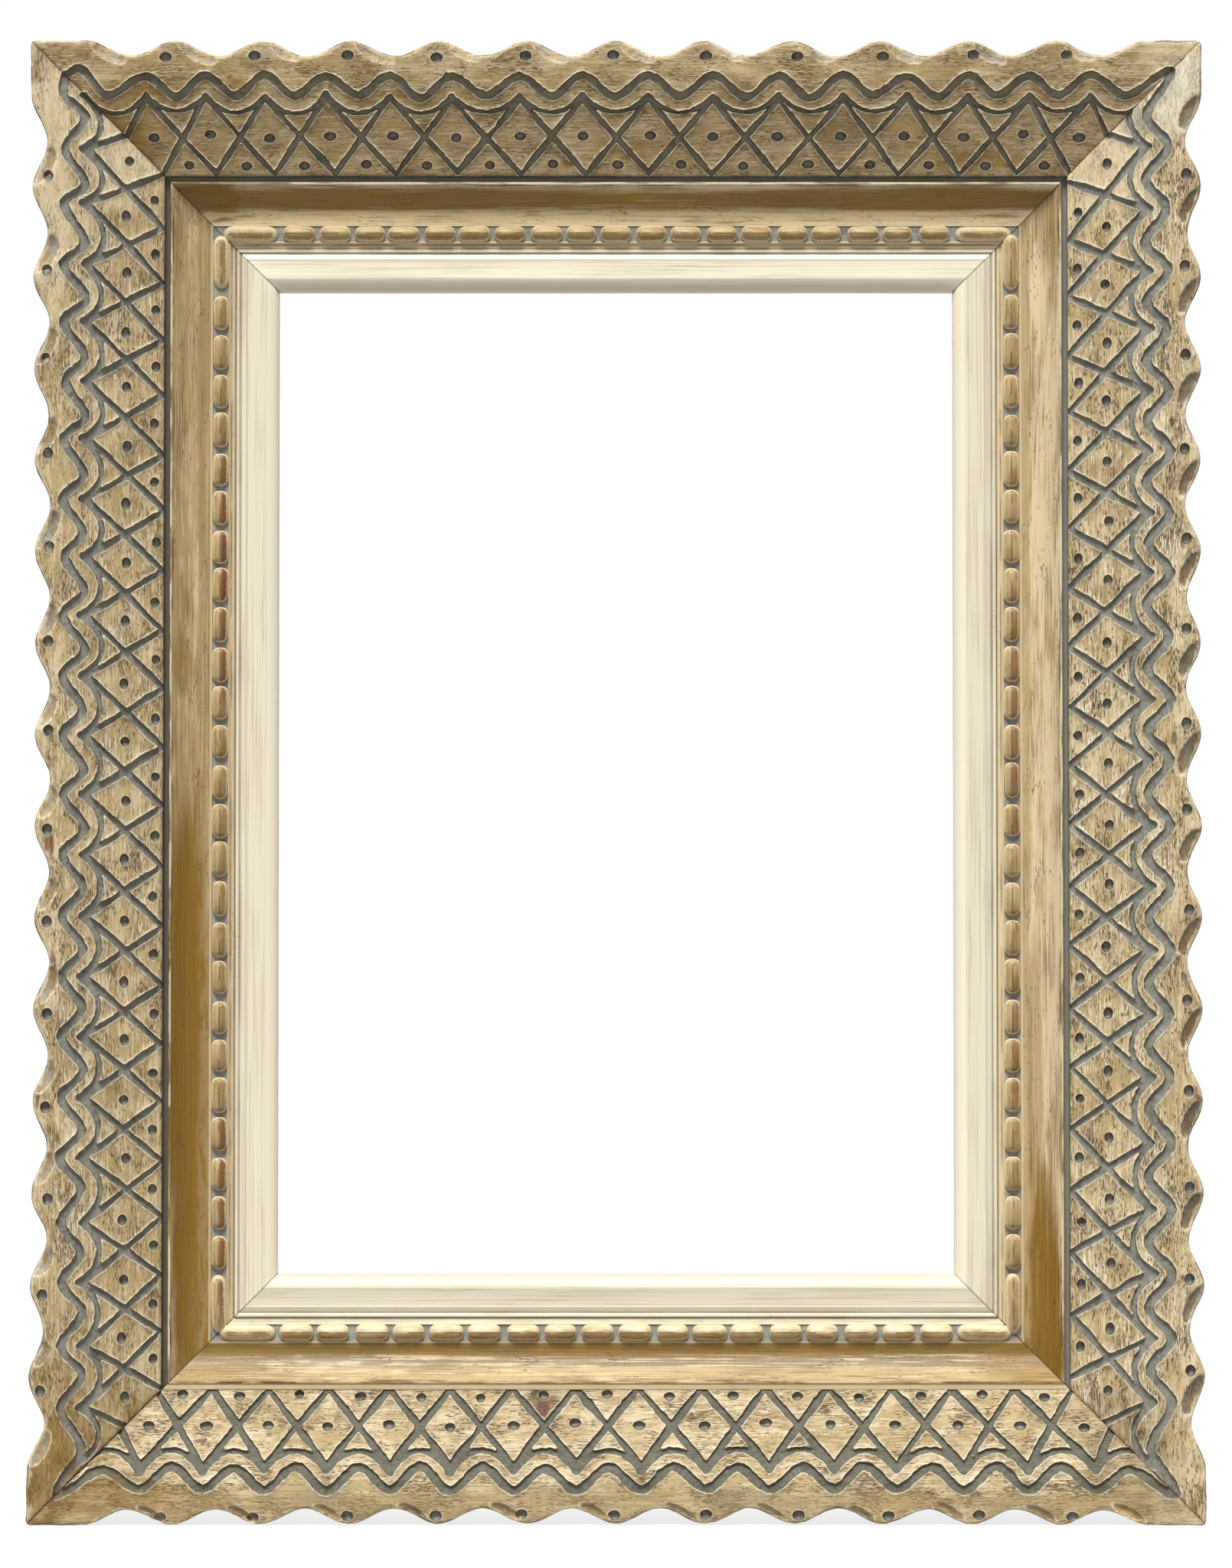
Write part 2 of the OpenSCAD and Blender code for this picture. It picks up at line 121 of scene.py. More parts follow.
def ripple(a, b, wavelength, seed, waves=7):
    """A smooth uneven value about 0, mostly within -1 to 1, over the places (a, b)."""
    rng = np.random.default_rng(seed)
    total = np.zeros(np.broadcast(a, b).shape)
    for _ in range(waves):
        turn = rng.uniform(0, math.tau)
        pace = math.tau / (wavelength * rng.uniform(0.7, 1.5))
        total += np.sin((a * math.cos(turn) + b * math.sin(turn)) * pace + rng.uniform(0, math.tau))
    return total / math.sqrt(waves)


def pick(piece):
    """Selects one piece alone."""
    bpy.ops.object.select_all(action="DESELECT")
    piece.select_set(True)
    bpy.context.view_layer.objects.active = piece


def face_outward():
    """In edit mode: turns the faces of the whole piece outward, and leaves edit mode."""
    bpy.ops.mesh.select_all(action="SELECT")
    bpy.ops.mesh.normals_make_consistent(inside=False)
    bpy.ops.object.mode_set(mode="OBJECT")


# Carving

GRID = 0.8          # pitch on which the cuts are worked out
REACH = 5.0         # how far from a cut its distance is still kept
FAR = 9.0           # stands for every distance past that
NO_HOLLOW = 3.0     # the same for hollows, whose distance is a share of their size
# Heights across each kind of mark, as (distance outside its edge, height)
STEPS = {
    "cut": ((0.75, 0.0), (0.2, 0.26), (-0.3, -1.25), (-0.6, -1.6)),
    "dot": ((0.5, 0.0), (0.12, 0.1), (-0.4, -1.5), (-1.0, -2.5)),
    "facet": ((1.08, 0.0), (0.98, -0.25), (0.75, -1.3), (0.4, -2.1)),
    "rim": ((1.5, 0.0), (0.6, -0.35), (0.0, -1.3)),
    "seam": ((0.4, 0.0), (0.0, -0.3)),
}
# Least and most distance that a point keeps for its finish
KEPT = {"cut": (-2.5, 6.0), "dot": (-2.5, 5.0), "facet": (0.0, NO_HOLLOW),
        "rim": (0.0, 12.0), "seam": (0.0, 8.0)}
# A rim's gouged hollow: half its length and width, how far in it lies, and how far it lies
# from its crest as a share of the scallops' pitch
HOLLOW_SIZE = {"top": (9.8, 4.1, 1.5, 0.25), "bottom": (8.0, 3.0, 1.7, 0.25),
               "left": (9.8, 4.6, 2.1, 0.25), "right": (11.0, 4.7, 1.3, 0.20)}
# How far a side's rim dots are spread from its middle, and all moved along it
RIM_SPREAD = {"top": (1.02, 0), "bottom": (1.02, 0), "left": (1.02, 0), "right": (1.003, 4.8)}
RIM_STEP = 0.7      # between points along the rim
INNER_STEP = 3.0    # between points along the moulding
MITRE_STEP = 1.0    # between points along a mitre
LOOSE_STEP = 2.4    # between the loose points of the uncut wood
CLEAR = 1.3         # how far loose points stay off the cuts
CLOSE = 0.02        # how near to a line a point counts as on it
# The rim's side, down to an eased edge at the back, as (height, how far in)
RIM_SIDE = ((41.0, -0.1), (30.0, 0.05), (16.0, 0.0), (1.2, 0.1), (0.0, 1.0))


class Pattern:
    """Where the carver's cuts run on one side. Along it, the outer and inner corners of its
    diamonds (tips and apexes) are given as the first, the last, how far the middle strays and
    how far the halves do. Across it, places are distances in from the rim: the wave's crests
    and troughs, the arcs' cusps and bellies, a diamond's tip and apex, the dots in the diamonds
    and between them. A trough leans to a share of its step, at the side's start and its end.
    The rim has how far it bows in, and how far in its dots lie."""

    def __init__(self, count, tips, apexes, wave, arcs, diamond, eyes, lean, rim, seed):
        self.count = count
        self.tips, self.apexes = tips, apexes
        self.wave_out, self.wave_in = wave
        self.cusp, self.arc_in = arcs
        self.tip, self.apex = diamond
        self.eye, self.upper_eye = eyes
        self.lean = lean
        self.rim_bow, self.rim_eye = rim
        self.seed = seed

    def along(self, run, i):
        first, last, bow, skew = run
        t = 2 * i / (self.count - 1) - 1
        middle, half = (first + last) / 2, (last - first) / 2
        return middle + half * t + (bow + skew * t) * (1 - t * t)


PATTERNS = {
    "top": Pattern(
        count=16, tips=(-240, 237.5, 1.5, 9), apexes=(-231, 230, 0.5, 13), wave=(17.8, 28.4),
        arcs=(27.6, 36.0), diamond=(29.6, 66.0), eyes=(47.4, 61.6), lean=(0.52, 0.48),
        rim=(0.2, 8.2), seed=11),
    "bottom": Pattern(
        count=16, tips=(-239, 240, -3.8, 0), apexes=(-232, 230, -3.5, 8), wave=(17.9, 29.2),
        arcs=(27.3, 37.2), diamond=(29.8, 67.2), eyes=(49.2, 63.6), lean=(0.50, 0.50),
        rim=(0.9, 5.4), seed=12),
    "left": Pattern(
        count=22, tips=(-320, 315, -5, 0), apexes=(-309, 306, 0, 8), wave=(17.3, 28.0),
        arcs=(26.8, 36.2), diamond=(29.2, 66.8), eyes=(48.4, 62.6), lean=(0.66, 0.46),
        rim=(3.3, 10.2), seed=13),
    "right": Pattern(
        count=21, tips=(-313, 319.5, 6, 0), apexes=(-301, 303, 6.5, 0), wave=(17.3, 28.2),
        arcs=(26.2, 35.8), diamond=(28.8, 66.8), eyes=(47.9, 61.8), lean=(0.50, 0.48),
        rim=(1.2, 8.8), seed=14),
}
# Half the width of the wave, the arcs and the lattice
CUT_HALF = {"top": (2.0, 1.2, 1.4), "bottom": (2.3, 1.8, 1.75),
            "left": (2.2, 1.65, 1.6), "right": (2.4, 1.7, 1.75)}
# How deep a side's grooves are, as a share of the heights above
CUT_DEEP = {"top": 1.4, "bottom": 0.9, "left": 1.15, "right": 1.0}
# Half the length and width of a punched dot: in a diamond, between two and on the rim
DOT_SIZE = {"diamond": (3.0, 2.3), "between": (2.8, 2.25), "rim": (3.1, 2.6)}
HAND = 0.5          # how far the hand strays from the setting out
# The wave turns each corner on the mitre: distances from the end of the side, then in
CORNER_MEET = (15.5, 15.5)
CORNER_TROUGH = (38.5, 27.8)
TOP_LEFT_MEET = (17.5, 17.5)
TOP_LEFT_CREST = {"top": (24.5, 14.2), "left": (27.0, 16.8)}
ROUND_R = 3.2       # of the frame's worn corners
SWING_STEPS = 8
SWAG_STEPS = 14
# How wide a straight cut is from its start to its end, as a share of its mean
LATTICE_WIDTHS = (0.75, 1.05, 1.0, 1.05, 1.1, 0.8)
LATTICE_STEPS = len(LATTICE_WIDTHS) - 1


def scallops(length):
    """How many scallops fit between a side's corners, and at what pitch."""
    run = length - 2 * CORNER_LAND
    count = round(run / SCALLOP_PITCH)
    return count, run / count


def rim_line(x, side):
    """How far the scalloped rim lies in from its crests. It is worn, bowed in between its ends
    and rounded at its corners."""
    length = length_of(side)
    seed = PATTERNS[side].seed + 5
    pitch = scallops(length)[1]
    start = CORNER_LAND - length / 2
    along = np.clip(x, start - pitch / 2, -start + pitch / 2)
    deep = SCALLOP_DEEP * (1 + np.cos(math.tau * (along - start) / pitch)) / 2
    deep = deep * (1 - 0.05 * (1 + ripple(x, 0 * x, 60, seed)))
    deep = deep + PATTERNS[side].rim_bow * np.clip(1 - (2 * x / length) ** 2, 0, 1)
    worn = 0.22 + 0.12 * ripple(x, 0 * x, 14, seed + 1) + 0.06 * ripple(x, 0 * x, 4, seed + 2)
    end = np.clip(ROUND_R - (length / 2 - np.abs(x)), 0, ROUND_R)
    corner = ROUND_R - np.sqrt(ROUND_R * ROUND_R - end * end)
    return deep + np.clip(worn, 0.05, 1) + corner


def swing(points):
    """Joins crests and troughs by half waves, a little straighter on their flanks."""
    line = []
    for (xa, ua), (xb, ub) in zip(points, points[1:]):
        for i in range(SWING_STEPS):
            t = i / SWING_STEPS
            rise = 0.84 * (1 - math.cos(math.pi * t)) / 2 + 0.16 * t
            line.append((xa + (xb - xa) * t, ua + (ub - ua) * rise))
    return line + [points[-1]]


def swag(start, end, deep, lean):
    """A hanging arc between two cusps, deepest at the share lean of its length."""
    line = []
    for i in range(SWAG_STEPS + 1):
        t = i / SWAG_STEPS
        belly = 1 - abs((t - lean) / (lean if t < lean else 1 - lean)) ** 2.1
        u = start[1] + (end[1] - start[1]) * t
        line.append((start[0] + (end[0] - start[0]) * t, u + (deep - u) * belly))
    return line


def strokes_of(side):
    """Every groove of one side as (points, half width at each point), and the punched dots."""
    cut = PATTERNS[side]
    rng = np.random.default_rng(cut.seed)
    wave_half, arc_half, lattice_half = CUT_HALF[side]
    half = length_of(side) / 2
    last = cut.count - 1

    def stray(amount=HAND):
        return float(np.clip(rng.normal(0, amount), -2 * amount, 2 * amount))

    def spaced(run):
        return [cut.along(run, i) + stray() for i in range(cut.count)]

    tips = spaced(cut.tips)
    apexes = spaced(cut.apexes)
    tip_u = [cut.tip + stray(0.4) for _ in tips]
    apex_u = [cut.apex + stray(0.4) for _ in apexes]
    cusp_u = [cut.cusp + stray(0.5) for _ in tips]
    strokes = []

    def stroke(line, widths, uneven=0.12):
        uneven_widths = [width * (1 + uneven * float(np.clip(rng.normal(), -1.6, 1.6)))
                         for width in widths]
        strokes.append((line, uneven_widths))

    def leaning(i):
        return cut.lean[0] + (cut.lean[1] - cut.lean[0]) * i / last

    def corner_turn(sign):
        """The wave from the mitre to its last trough at one end of the side."""
        at_top_left = (side, sign) in (("top", 1), ("left", -1))
        turn = [TOP_LEFT_MEET, TOP_LEFT_CREST[side]] if at_top_left else [CORNER_MEET]
        return [(sign * (half - away), u) for away, u in turn + [CORNER_TROUGH]]

    crests = corner_turn(-1)
    for i, x in enumerate(tips):
        crests.append((x, cut.wave_out + stray(0.45)))
        if i < last:
            trough = x + (tips[i + 1] - x) * leaning(i)
            crests.append((trough + stray(), cut.wave_in + stray(0.45)))
    crests += corner_turn(1)[::-1]
    wave = swing(crests)
    stroke(wave, [wave_half] * len(wave), 0.10)

    step = tips[1] - tips[0]
    ends = [(tips[0] - step, cut.cusp)] + list(zip(tips, cusp_u)) + [(tips[-1] + step, cut.cusp)]
    for i, (a, b) in enumerate(zip(ends, ends[1:])):
        arc = swag(a, b, cut.arc_in + stray(0.4), (leaning(i) + 0.5) / 2)
        stroke(arc, [arc_half * (0.82 + 0.3 * abs(2 * k / SWAG_STEPS - 1) ** 1.5)
                     for k in range(SWAG_STEPS + 1)])
    for x, u, low in zip(tips, cusp_u, tip_u):
        stroke([(x, u), (x, low)], [arc_half * 0.8, arc_half])

    def lattice(tip, apex):
        """A straight cut from a tip to an apex, a little crooked as pushed by hand."""
        line = []
        for i in range(LATTICE_STEPS + 1):
            t = i / LATTICE_STEPS
            wander = 0 if i in (0, LATTICE_STEPS) else stray(0.16)
            line.append((tip[0] + (apex[0] - tip[0]) * t + wander, tip[1] + (apex[1] - tip[1]) * t))
        stroke(line, [lattice_half * wide for wide in LATTICE_WIDTHS], 0.16)

    for i in range(last):
        lattice((tips[i], tip_u[i]), (apexes[i + 1], apex_u[i + 1]))
        lattice((tips[i + 1], tip_u[i + 1]), (apexes[i], apex_u[i]))
    apex_step = apexes[1] - apexes[0]
    lattice((tips[0], tip_u[0]), (apexes[0] - apex_step, cut.apex))
    lattice((tips[-1], tip_u[-1]), (apexes[-1] + apex_step, cut.apex))

    dots = []
    long, wide = DOT_SIZE["diamond"]
    for x, a, low, high in zip(tips, apexes, tip_u, apex_u):
        middle = (low + high - cut.tip - cut.apex) / 2 + cut.eye
        dots.append(((x + a) / 2 + stray(), middle + stray(0.6), long + stray(0.2), wide))
    long, wide = DOT_SIZE["between"]
    for a, b in zip(apexes, apexes[1:]):
        dots.append(((a + b) / 2 + stray(), cut.upper_eye + stray(0.5), long + stray(0.2), wide))
    return strokes, dots


def rim_marks(side):
    """The dot on each crest of the rim, and the gouged hollow on one flank of each."""
    length = length_of(side)
    cut = PATTERNS[side]
    rng = np.random.default_rng(cut.seed + 50)
    count, pitch = scallops(length)
    slope = math.atan(math.pi * SCALLOP_DEEP / pitch)
    half_long, half_wide, inward, along = HOLLOW_SIZE[side]
    spread, moved = RIM_SPREAD[side]
    dots, facets = [], []
    for i in range(count + 1):
        crest = CORNER_LAND - length / 2 + (i + 0.5) * pitch
        if i < count:
            eye_u = cut.rim_eye - cut.rim_bow * (2 * crest / length) ** 2
            eye = crest * spread + moved
            dots.append((eye + rng.normal(0, 1.2), eye_u + rng.normal(0, 0.5), *DOT_SIZE["rim"]))
        flank = crest - pitch * (along + rng.normal(0, 0.012))
        away = inward + rng.normal(0, 0.4)
        long = half_long + rng.normal(0, 0.9)
        bow = cut.rim_bow * (1 - (2 * flank / length) ** 2)
        flank_u = SCALLOP_DEEP / 2 + away + bow
        facets.append((flank, flank_u, -slope, long, half_wide + rng.normal(0, 0.3)))
    return dots, facets


def groove_distance(xs, us, strokes):
    """Distance outside the nearest groove at each place of the grid, below 0 within it."""
    field = np.full((len(xs), len(us)), FAR)
    for line, widths in strokes:
        for (p, q, wp, wq) in zip(line, line[1:], widths, widths[1:]):
            ax, bx = min(p[0], q[0]) - REACH, max(p[0], q[0]) + REACH
            au, bu = min(p[1], q[1]) - REACH, max(p[1], q[1]) + REACH
            i, j = np.searchsorted(xs, (ax, bx))
            k, m = np.searchsorted(us, (au, bu))
            if i == j or k == m:
                continue
            dx, du = q[0] - p[0], q[1] - p[1]
            gx = xs[i:j, None] - p[0]
            gu = us[None, k:m] - p[1]
            t = np.clip((gx * dx + gu * du) / max(dx * dx + du * du, 1e-9), 0, 1)
            away = np.hypot(gx - t * dx, gu - t * du) - (wp + (wq - wp) * t)
            field[i:j, k:m] = np.minimum(field[i:j, k:m], away)
    return field


def dot_distance(xs, us, dots):
    """Distance outside the nearest dot at each place of the grid, below 0 within it."""
    field = np.full((len(xs), len(us)), FAR)
    for x, u, a, b in dots:
        i, j = np.searchsorted(xs, (x - a - REACH, x + a + REACH))
        k, m = np.searchsorted(us, (u - b - REACH, u + b + REACH))
        if i == j or k == m:
            continue
        ring = np.hypot((xs[i:j, None] - x) / a, (us[None, k:m] - u) / b)
        field[i:j, k:m] = np.minimum(field[i:j, k:m], (ring - 1) * min(a, b))
    return field


def facet_reach(xs, us, facets):
    """1 at the edge of the nearest gouged hollow and 0 at its middle."""
    field = np.full((len(xs), len(us)), NO_HOLLOW)
    for x, u, turn, a, b in facets:
        dx, du = xs[:, None] - x, us[None, :] - u
        along = dx * math.cos(turn) + du * math.sin(turn)
        across = du * math.cos(turn) - dx * math.sin(turn)
        field = np.minimum(field, np.hypot(along / a, across / b))
    return field


def level_lines(xs, us, field, level):
    """The line on which a field over the grid has one value: its points and its edges."""
    f = field - level
    # The line is kept off the grid's own points
    f = np.where(np.abs(f) < CLOSE, CLOSE, f)
    inside = f < 0
    nx, nu = f.shape
    along = np.full((nx, nu), -1)
    across = np.full((nx, nu), -1)
    i, j = np.nonzero(inside[:-1, :] != inside[1:, :])
    t = f[i, j] / (f[i, j] - f[i + 1, j])
    points = [np.stack([xs[i] + t * GRID, us[j]], 1)]
    along[i, j] = np.arange(len(i))
    k, m = np.nonzero(inside[:, :-1] != inside[:, 1:])
    t = f[k, m] / (f[k, m] - f[k, m + 1])
    points.append(np.stack([xs[k], us[m] + t * GRID], 1))
    across[k, m] = len(i) + np.arange(len(k))
    low, high = along[:-1, :-1], along[:-1, 1:]
    left, right = across[:-1, :-1], across[1:, :-1]
    crossings = np.stack([low, left, high, right], -1).reshape(-1, 4)
    used = (crossings >= 0).sum(1)
    pairs = crossings[used == 2]
    pairs = pairs[pairs >= 0].reshape(-1, 2)
    four = crossings[used == 4]
    edges = np.concatenate([pairs, four[:, :2], four[:, 2:]])
    return np.concatenate(points), edges


def sample(xs, us, field, points):
    """The field's value at any points, between the grid's own."""
    a = np.clip((points[:, 0] - xs[0]) / GRID, 0, len(xs) - 1.001)
    b = np.clip((points[:, 1] - us[0]) / GRID, 0, len(us) - 1.001)
    i, j = a.astype(int), b.astype(int)
    s, t = a - i, b - j
    low = field[i, j] * (1 - s) + field[i + 1, j] * s
    high = field[i, j + 1] * (1 - s) + field[i + 1, j + 1] * s
    return low * (1 - t) + high * t


def step_height(near, name):
    """The height that one kind of mark gives each point."""
    pairs = sorted(STEPS[name])
    return np.interp(near[name], [p[0] for p in pairs], [p[1] for p in pairs])


def panel_height(u):
    """The panel before carving: a nearly level band, then a slope down to the moulding."""
    fall = (RIM_H - BAND_FALL - PANEL_H) / (PANEL_W - BAND_W)
    band = RIM_H - u * BAND_FALL / BAND_W
    slope = RIM_H - BAND_FALL - (u - BAND_W) * fall
    t = np.clip((u - BAND_W + BLEND_W) / (2 * BLEND_W), 0, 1)
    eased = BLEND_W * (fall - BAND_FALL / BAND_W) / 2
    return np.minimum(band, slope) - eased * t * (1 - t)


def fields_of(side, xs, us):
    """How far each place of the grid lies from the side's cuts, dots, hollows, rim and ends."""
    length = length_of(side)
    seed = PATTERNS[side].seed
    gx, gu = np.meshgrid(xs, us, indexing="ij")
    strokes, dots = strokes_of(side)
    rim_dots, facets = rim_marks(side)
    ragged = 0.13 * ripple(gx, gu, 3.2, seed + 3, 12) + 0.10 * ripple(gx, gu, 9, seed + 4)
    mitre = (length / 2 - np.abs(gx) - gu) / math.sqrt(2) - SEAM_HALF
    slope = math.pi * SCALLOP_DEEP / SCALLOP_PITCH
    steep = 1 / np.sqrt(1 + (slope * np.sin(math.tau * gx / SCALLOP_PITCH)) ** 2)
    return {
        "cut": groove_distance(xs, us, strokes) + ragged,
        "dot": dot_distance(xs, us, dots + rim_dots) + 0.6 * ragged,
        "facet": facet_reach(xs, us, facets) + 0.25 * ragged,
        "rim": (gu - rim_line(gx, side)) * steep,
        "seam": np.minimum(mitre, PANEL_W - gu) + 0.5 * ragged,
    }


def outline_of(side):
    """The carved face's outline, along the rim and back along the moulding, and its rim alone."""
    length = length_of(side)
    half = length / 2 - SEAM_IN
    rim_x = np.linspace(-length / 2, length / 2, int(length / RIM_STEP))
    rim_u = rim_line(rim_x, side)
    keep = rim_u < half - np.abs(rim_x) - 0.1
    rim = np.stack([rim_x[keep], rim_u[keep]], 1)
    corners = [(sign * (half - u), u) for sign, u in ((-1, rim[0, 1]), (1, rim[-1, 1]))]
    rim = np.concatenate([corners[:1], rim, corners[1:]])
    inner_half = length / 2 - PANEL_W - SEAM_IN
    inner_x = np.linspace(inner_half, -inner_half, int(2 * inner_half / INNER_STEP))
    inner = np.stack([inner_x, np.full(len(inner_x), PANEL_W)], 1)
    mitre_u = np.arange(max(rim[0, 1], rim[-1, 1]) + 0.6, PANEL_W - 0.5, MITRE_STEP)
    up = np.stack([half - mitre_u, mitre_u], 1)
    down = up[::-1] * (-1, 1)
    return np.concatenate([rim, up, inner, down]), rim


def carved_height(side, x, u, near):
    """The panel with its cuts, and with the slight unevenness of handwork."""
    seed = PATTERNS[side].seed
    groove = step_height(near, "cut") * CUT_DEEP[side]
    punched = step_height(near, "dot")
    low = np.minimum(groove, punched)
    high = np.maximum(groove, punched)
    height = panel_height(u) + np.where(low < 0, low, high)
    height += step_height(near, "facet") + step_height(near, "rim")
    height += step_height(near, "seam")
    height += 0.22 * ripple(x, u, 22, seed + 7) + 0.07 * ripple(x, u, 5, seed + 8, 10)
    deep = np.clip(-np.minimum(near["cut"], near["dot"]), 0, 1)
    height += 0.16 * deep * ripple(x, u, 2.6, seed + 9, 12)
    return np.minimum(height, RIM_H - 0.15)


def carve(side):
    """The carved face of one side: points with heights, triangles, and what each point lies near.
    It is triangulated between its outline, the level lines of its cuts and loose points."""
    length = length_of(side)
    xs = np.arange(-length / 2 - 2 * GRID, length / 2 + 2 * GRID, GRID)
    us = np.arange(-2 * GRID, PANEL_W + 2 * GRID, GRID)
    fields = fields_of(side, xs, us)
    outline, rim = outline_of(side)
    total = len(outline)
    points = [outline]
    edges = [np.stack([np.arange(total), (np.arange(total) + 1) % total], 1)]
    for name, field in fields.items():
        for level, _ in STEPS[name]:
            if name in ("rim", "seam") and level == 0:
                continue
            line, pairs = level_lines(xs, us, field, level)
            points.append(line)
            edges.append(pairs + total)
            total += len(line)
    rng = np.random.default_rng(PATTERNS[side].seed + 6)
    px, pu = np.meshgrid(np.arange(-length / 2, length / 2, LOOSE_STEP),
                         np.arange(1, PANEL_W, LOOSE_STEP))
    loose = np.stack([px.ravel(), pu.ravel()], 1) + rng.uniform(-0.5, 0.5, (px.size, 2))
    for name in ("cut", "dot"):
        loose = loose[sample(xs, us, fields[name], loose) > CLEAR]
    points = [Vector(p) for p in np.concatenate(points + [loose])]
    made = delaunay_2d_cdt(points, np.concatenate(edges).tolist(), [], 0, 1e-5, False)

    flat = np.array([(v.x, v.y) for v in made[0]])
    faces = np.array([f for f in made[2] if len(f) == 3])
    middle = flat[faces].mean(1)
    within = middle[:, 1] > np.interp(middle[:, 0], rim[:, 0], rim[:, 1], left=FAR, right=FAR)
    within &= middle[:, 1] < PANEL_W
    within &= middle[:, 1] < length / 2 - SEAM_IN - np.abs(middle[:, 0])
    used, faces = np.unique(faces[within], return_inverse=True)
    faces = faces.reshape(-1, 3)
    flat = flat[used]
    near = {name: sample(xs, us, field, flat) for name, field in fields.items()}
    x, u = flat.T
    return np.column_stack([x, u, carved_height(side, x, u, near)]), faces, near


def open_edge(faces):
    """The points along the open edge of a triangulated face, in order."""
    edges = np.concatenate([faces[:, [0, 1]], faces[:, [1, 2]], faces[:, [2, 0]]])
    seen = {(int(a), int(b)) for a, b in edges}
    following = {a: b for a, b in seen if (b, a) not in seen}
    start = min(following)
    loop = [start]
    while following[loop[-1]] != start:
        loop.append(following[loop[-1]])
    return loop


def rail_body(side, top, faces):
    """Closes a carved face with the rim's side, the mitres, the shelf and the back."""
    half = length_of(side) / 2 - SEAM_IN
    loop = open_edge(faces)
    x, u = top[loop, 0], top[loop, 1]
    on_inner = u > PANEL_W - CLOSE
    on_rim = ~on_inner & (np.abs(half - np.abs(x) - u) >= CLOSE)
    # Turn the loop so that it starts at the left-hand end of the rim
    corner = min(np.flatnonzero(on_rim), key=lambda i: x[i])
    loop = loop[corner:] + loop[:corner]
    on_inner, on_rim = np.roll(on_inner, -corner), np.roll(on_rim, -corner)
    count = int(np.argmin(on_rim))
    rim = [loop[-1]] + loop[:count + 1]
    inner = [v for v, there in zip(loop, on_inner) if there]
    end_b = loop[count + 1:loop.index(inner[0])]
    end_a = loop[loop.index(inner[-1]) + 1:-1]
    points = [tuple(p) for p in top]
    polygons = [tuple(f) for f in faces.tolist()]

    def add(x, u, h):
        points.append((x, u, h))
        return len(points) - 1

    rings = [rim]
    for h, ease in RIM_SIDE:
        px, pu = top[rim, 0], top[rim, 1]
        tool = 0.12 * ripple(px, np.full(len(px), h), 12, PATTERNS[side].seed + 20)
        pu = pu + np.maximum(ease + tool, -0.05)
        px[0], px[-1] = pu[0] - half, half - pu[-1]
        rings.append([add(a, b, h) for a, b in zip(px, pu)])
    for upper, lower in zip(rings, rings[1:]):
        for i in range(len(rim) - 1):
            polygons.append((upper[i], lower[i], lower[i + 1], upper[i + 1]))

    # The foot of the panel's wall, the shelf's edge and the edge at the back, at each end
    shelf = ((PANEL_W, SHELF_H), (SHELF_END, SHELF_H), (SHELF_END, 0.0))
    left, right = ([add(sign * (half - u), u, h) for u, h in shelf] for sign in (-1, 1))
    rim_a = [ring[0] for ring in rings]
    rim_b = [ring[-1] for ring in rings]
    polygons.append(tuple(rim_b + right[::-1] + inner[:1] + end_b[::-1]))
    polygons.append(tuple(left + rim_a[::-1] + end_a[::-1] + inner[-1:]))
    polygons.append(tuple(inner + [left[0], right[0]]))
    polygons.append((right[0], left[0], left[1], right[1]))
    polygons.append((right[1], left[1], left[2], right[2]))
    polygons.append(tuple(rings[-1][::-1] + [left[2], right[2]]))
    return points, polygons


def carved_rail(side):
    """One rail. Crossing hand-cut grooves have no start in a primitive, so its face is
    triangulated, its body drawn around that, and the distances kept for its finish."""
    top, faces, near = carve(side)
    points, polygons = rail_body(side, top, faces)
    mesh = bpy.data.meshes.new("scalloped_rail_" + side)
    mesh.from_pydata([(a * MM, b * MM, c * MM) for a, b, c in points], [], polygons)
    mesh.validate()
    for name, (low, high) in KEPT.items():
        values = np.full(len(points), high, np.float32)
        values[:len(top)] = np.clip(near[name], low, high)
        mesh.attributes.new(name, "FLOAT", "POINT").data.foreach_set("value", values)
    piece = bpy.data.objects.new(mesh.name, mesh)
    bpy.context.scene.collection.objects.link(piece)
    pick(piece)
    bpy.ops.object.mode_set(mode="EDIT")
    face_outward()
    bpy.ops.object.shade_smooth_by_angle(angle=math.radians(36))
    mesh.transform(stand_up(side))
    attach(piece, "frame")
    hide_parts("carved_rail_" + side)
    return piece


# Cove, beads and liner

# Across a moulding, in from the rim: its lip, its hollow, its beads' bed and its fillet
GROOVE_W = 3.0
GROOVE_DEEP = 4.0
FILLED_DEEP = 0.7
LIP_U = IN_MOULDING + GROOVE_W - FIT
COVE_START = LIP_U + 1.5
COVE_STEPS = 14
BEAD_U = 90.7
BEAD_W = 8.8
FILLET_U = 99.5
# Across a liner, whose front starts a little inside the moulding's edge
LINER_GAP = 0.3
LINER_U = IN_LINER + LINER_GAP
LINE_W = 1.8
LINE_RISE = 0.8
BEVEL_W = 6.5
RECESS_W = 7.5      # the ledge behind the liner's edge
BAYS = 60           # that a moulding is drawn out in
MERGE = 0.01 * MM
LAP_H = SHELF_H + 2.5       # where the cove laps over the liner
PLANE_MARK = 0.22 * MM      # how far the hand plane strays
PLANE_STROKE = 30 * MM      # over what length it does
FILLED = "bottom"   # the side whose outer groove is filled with old paint


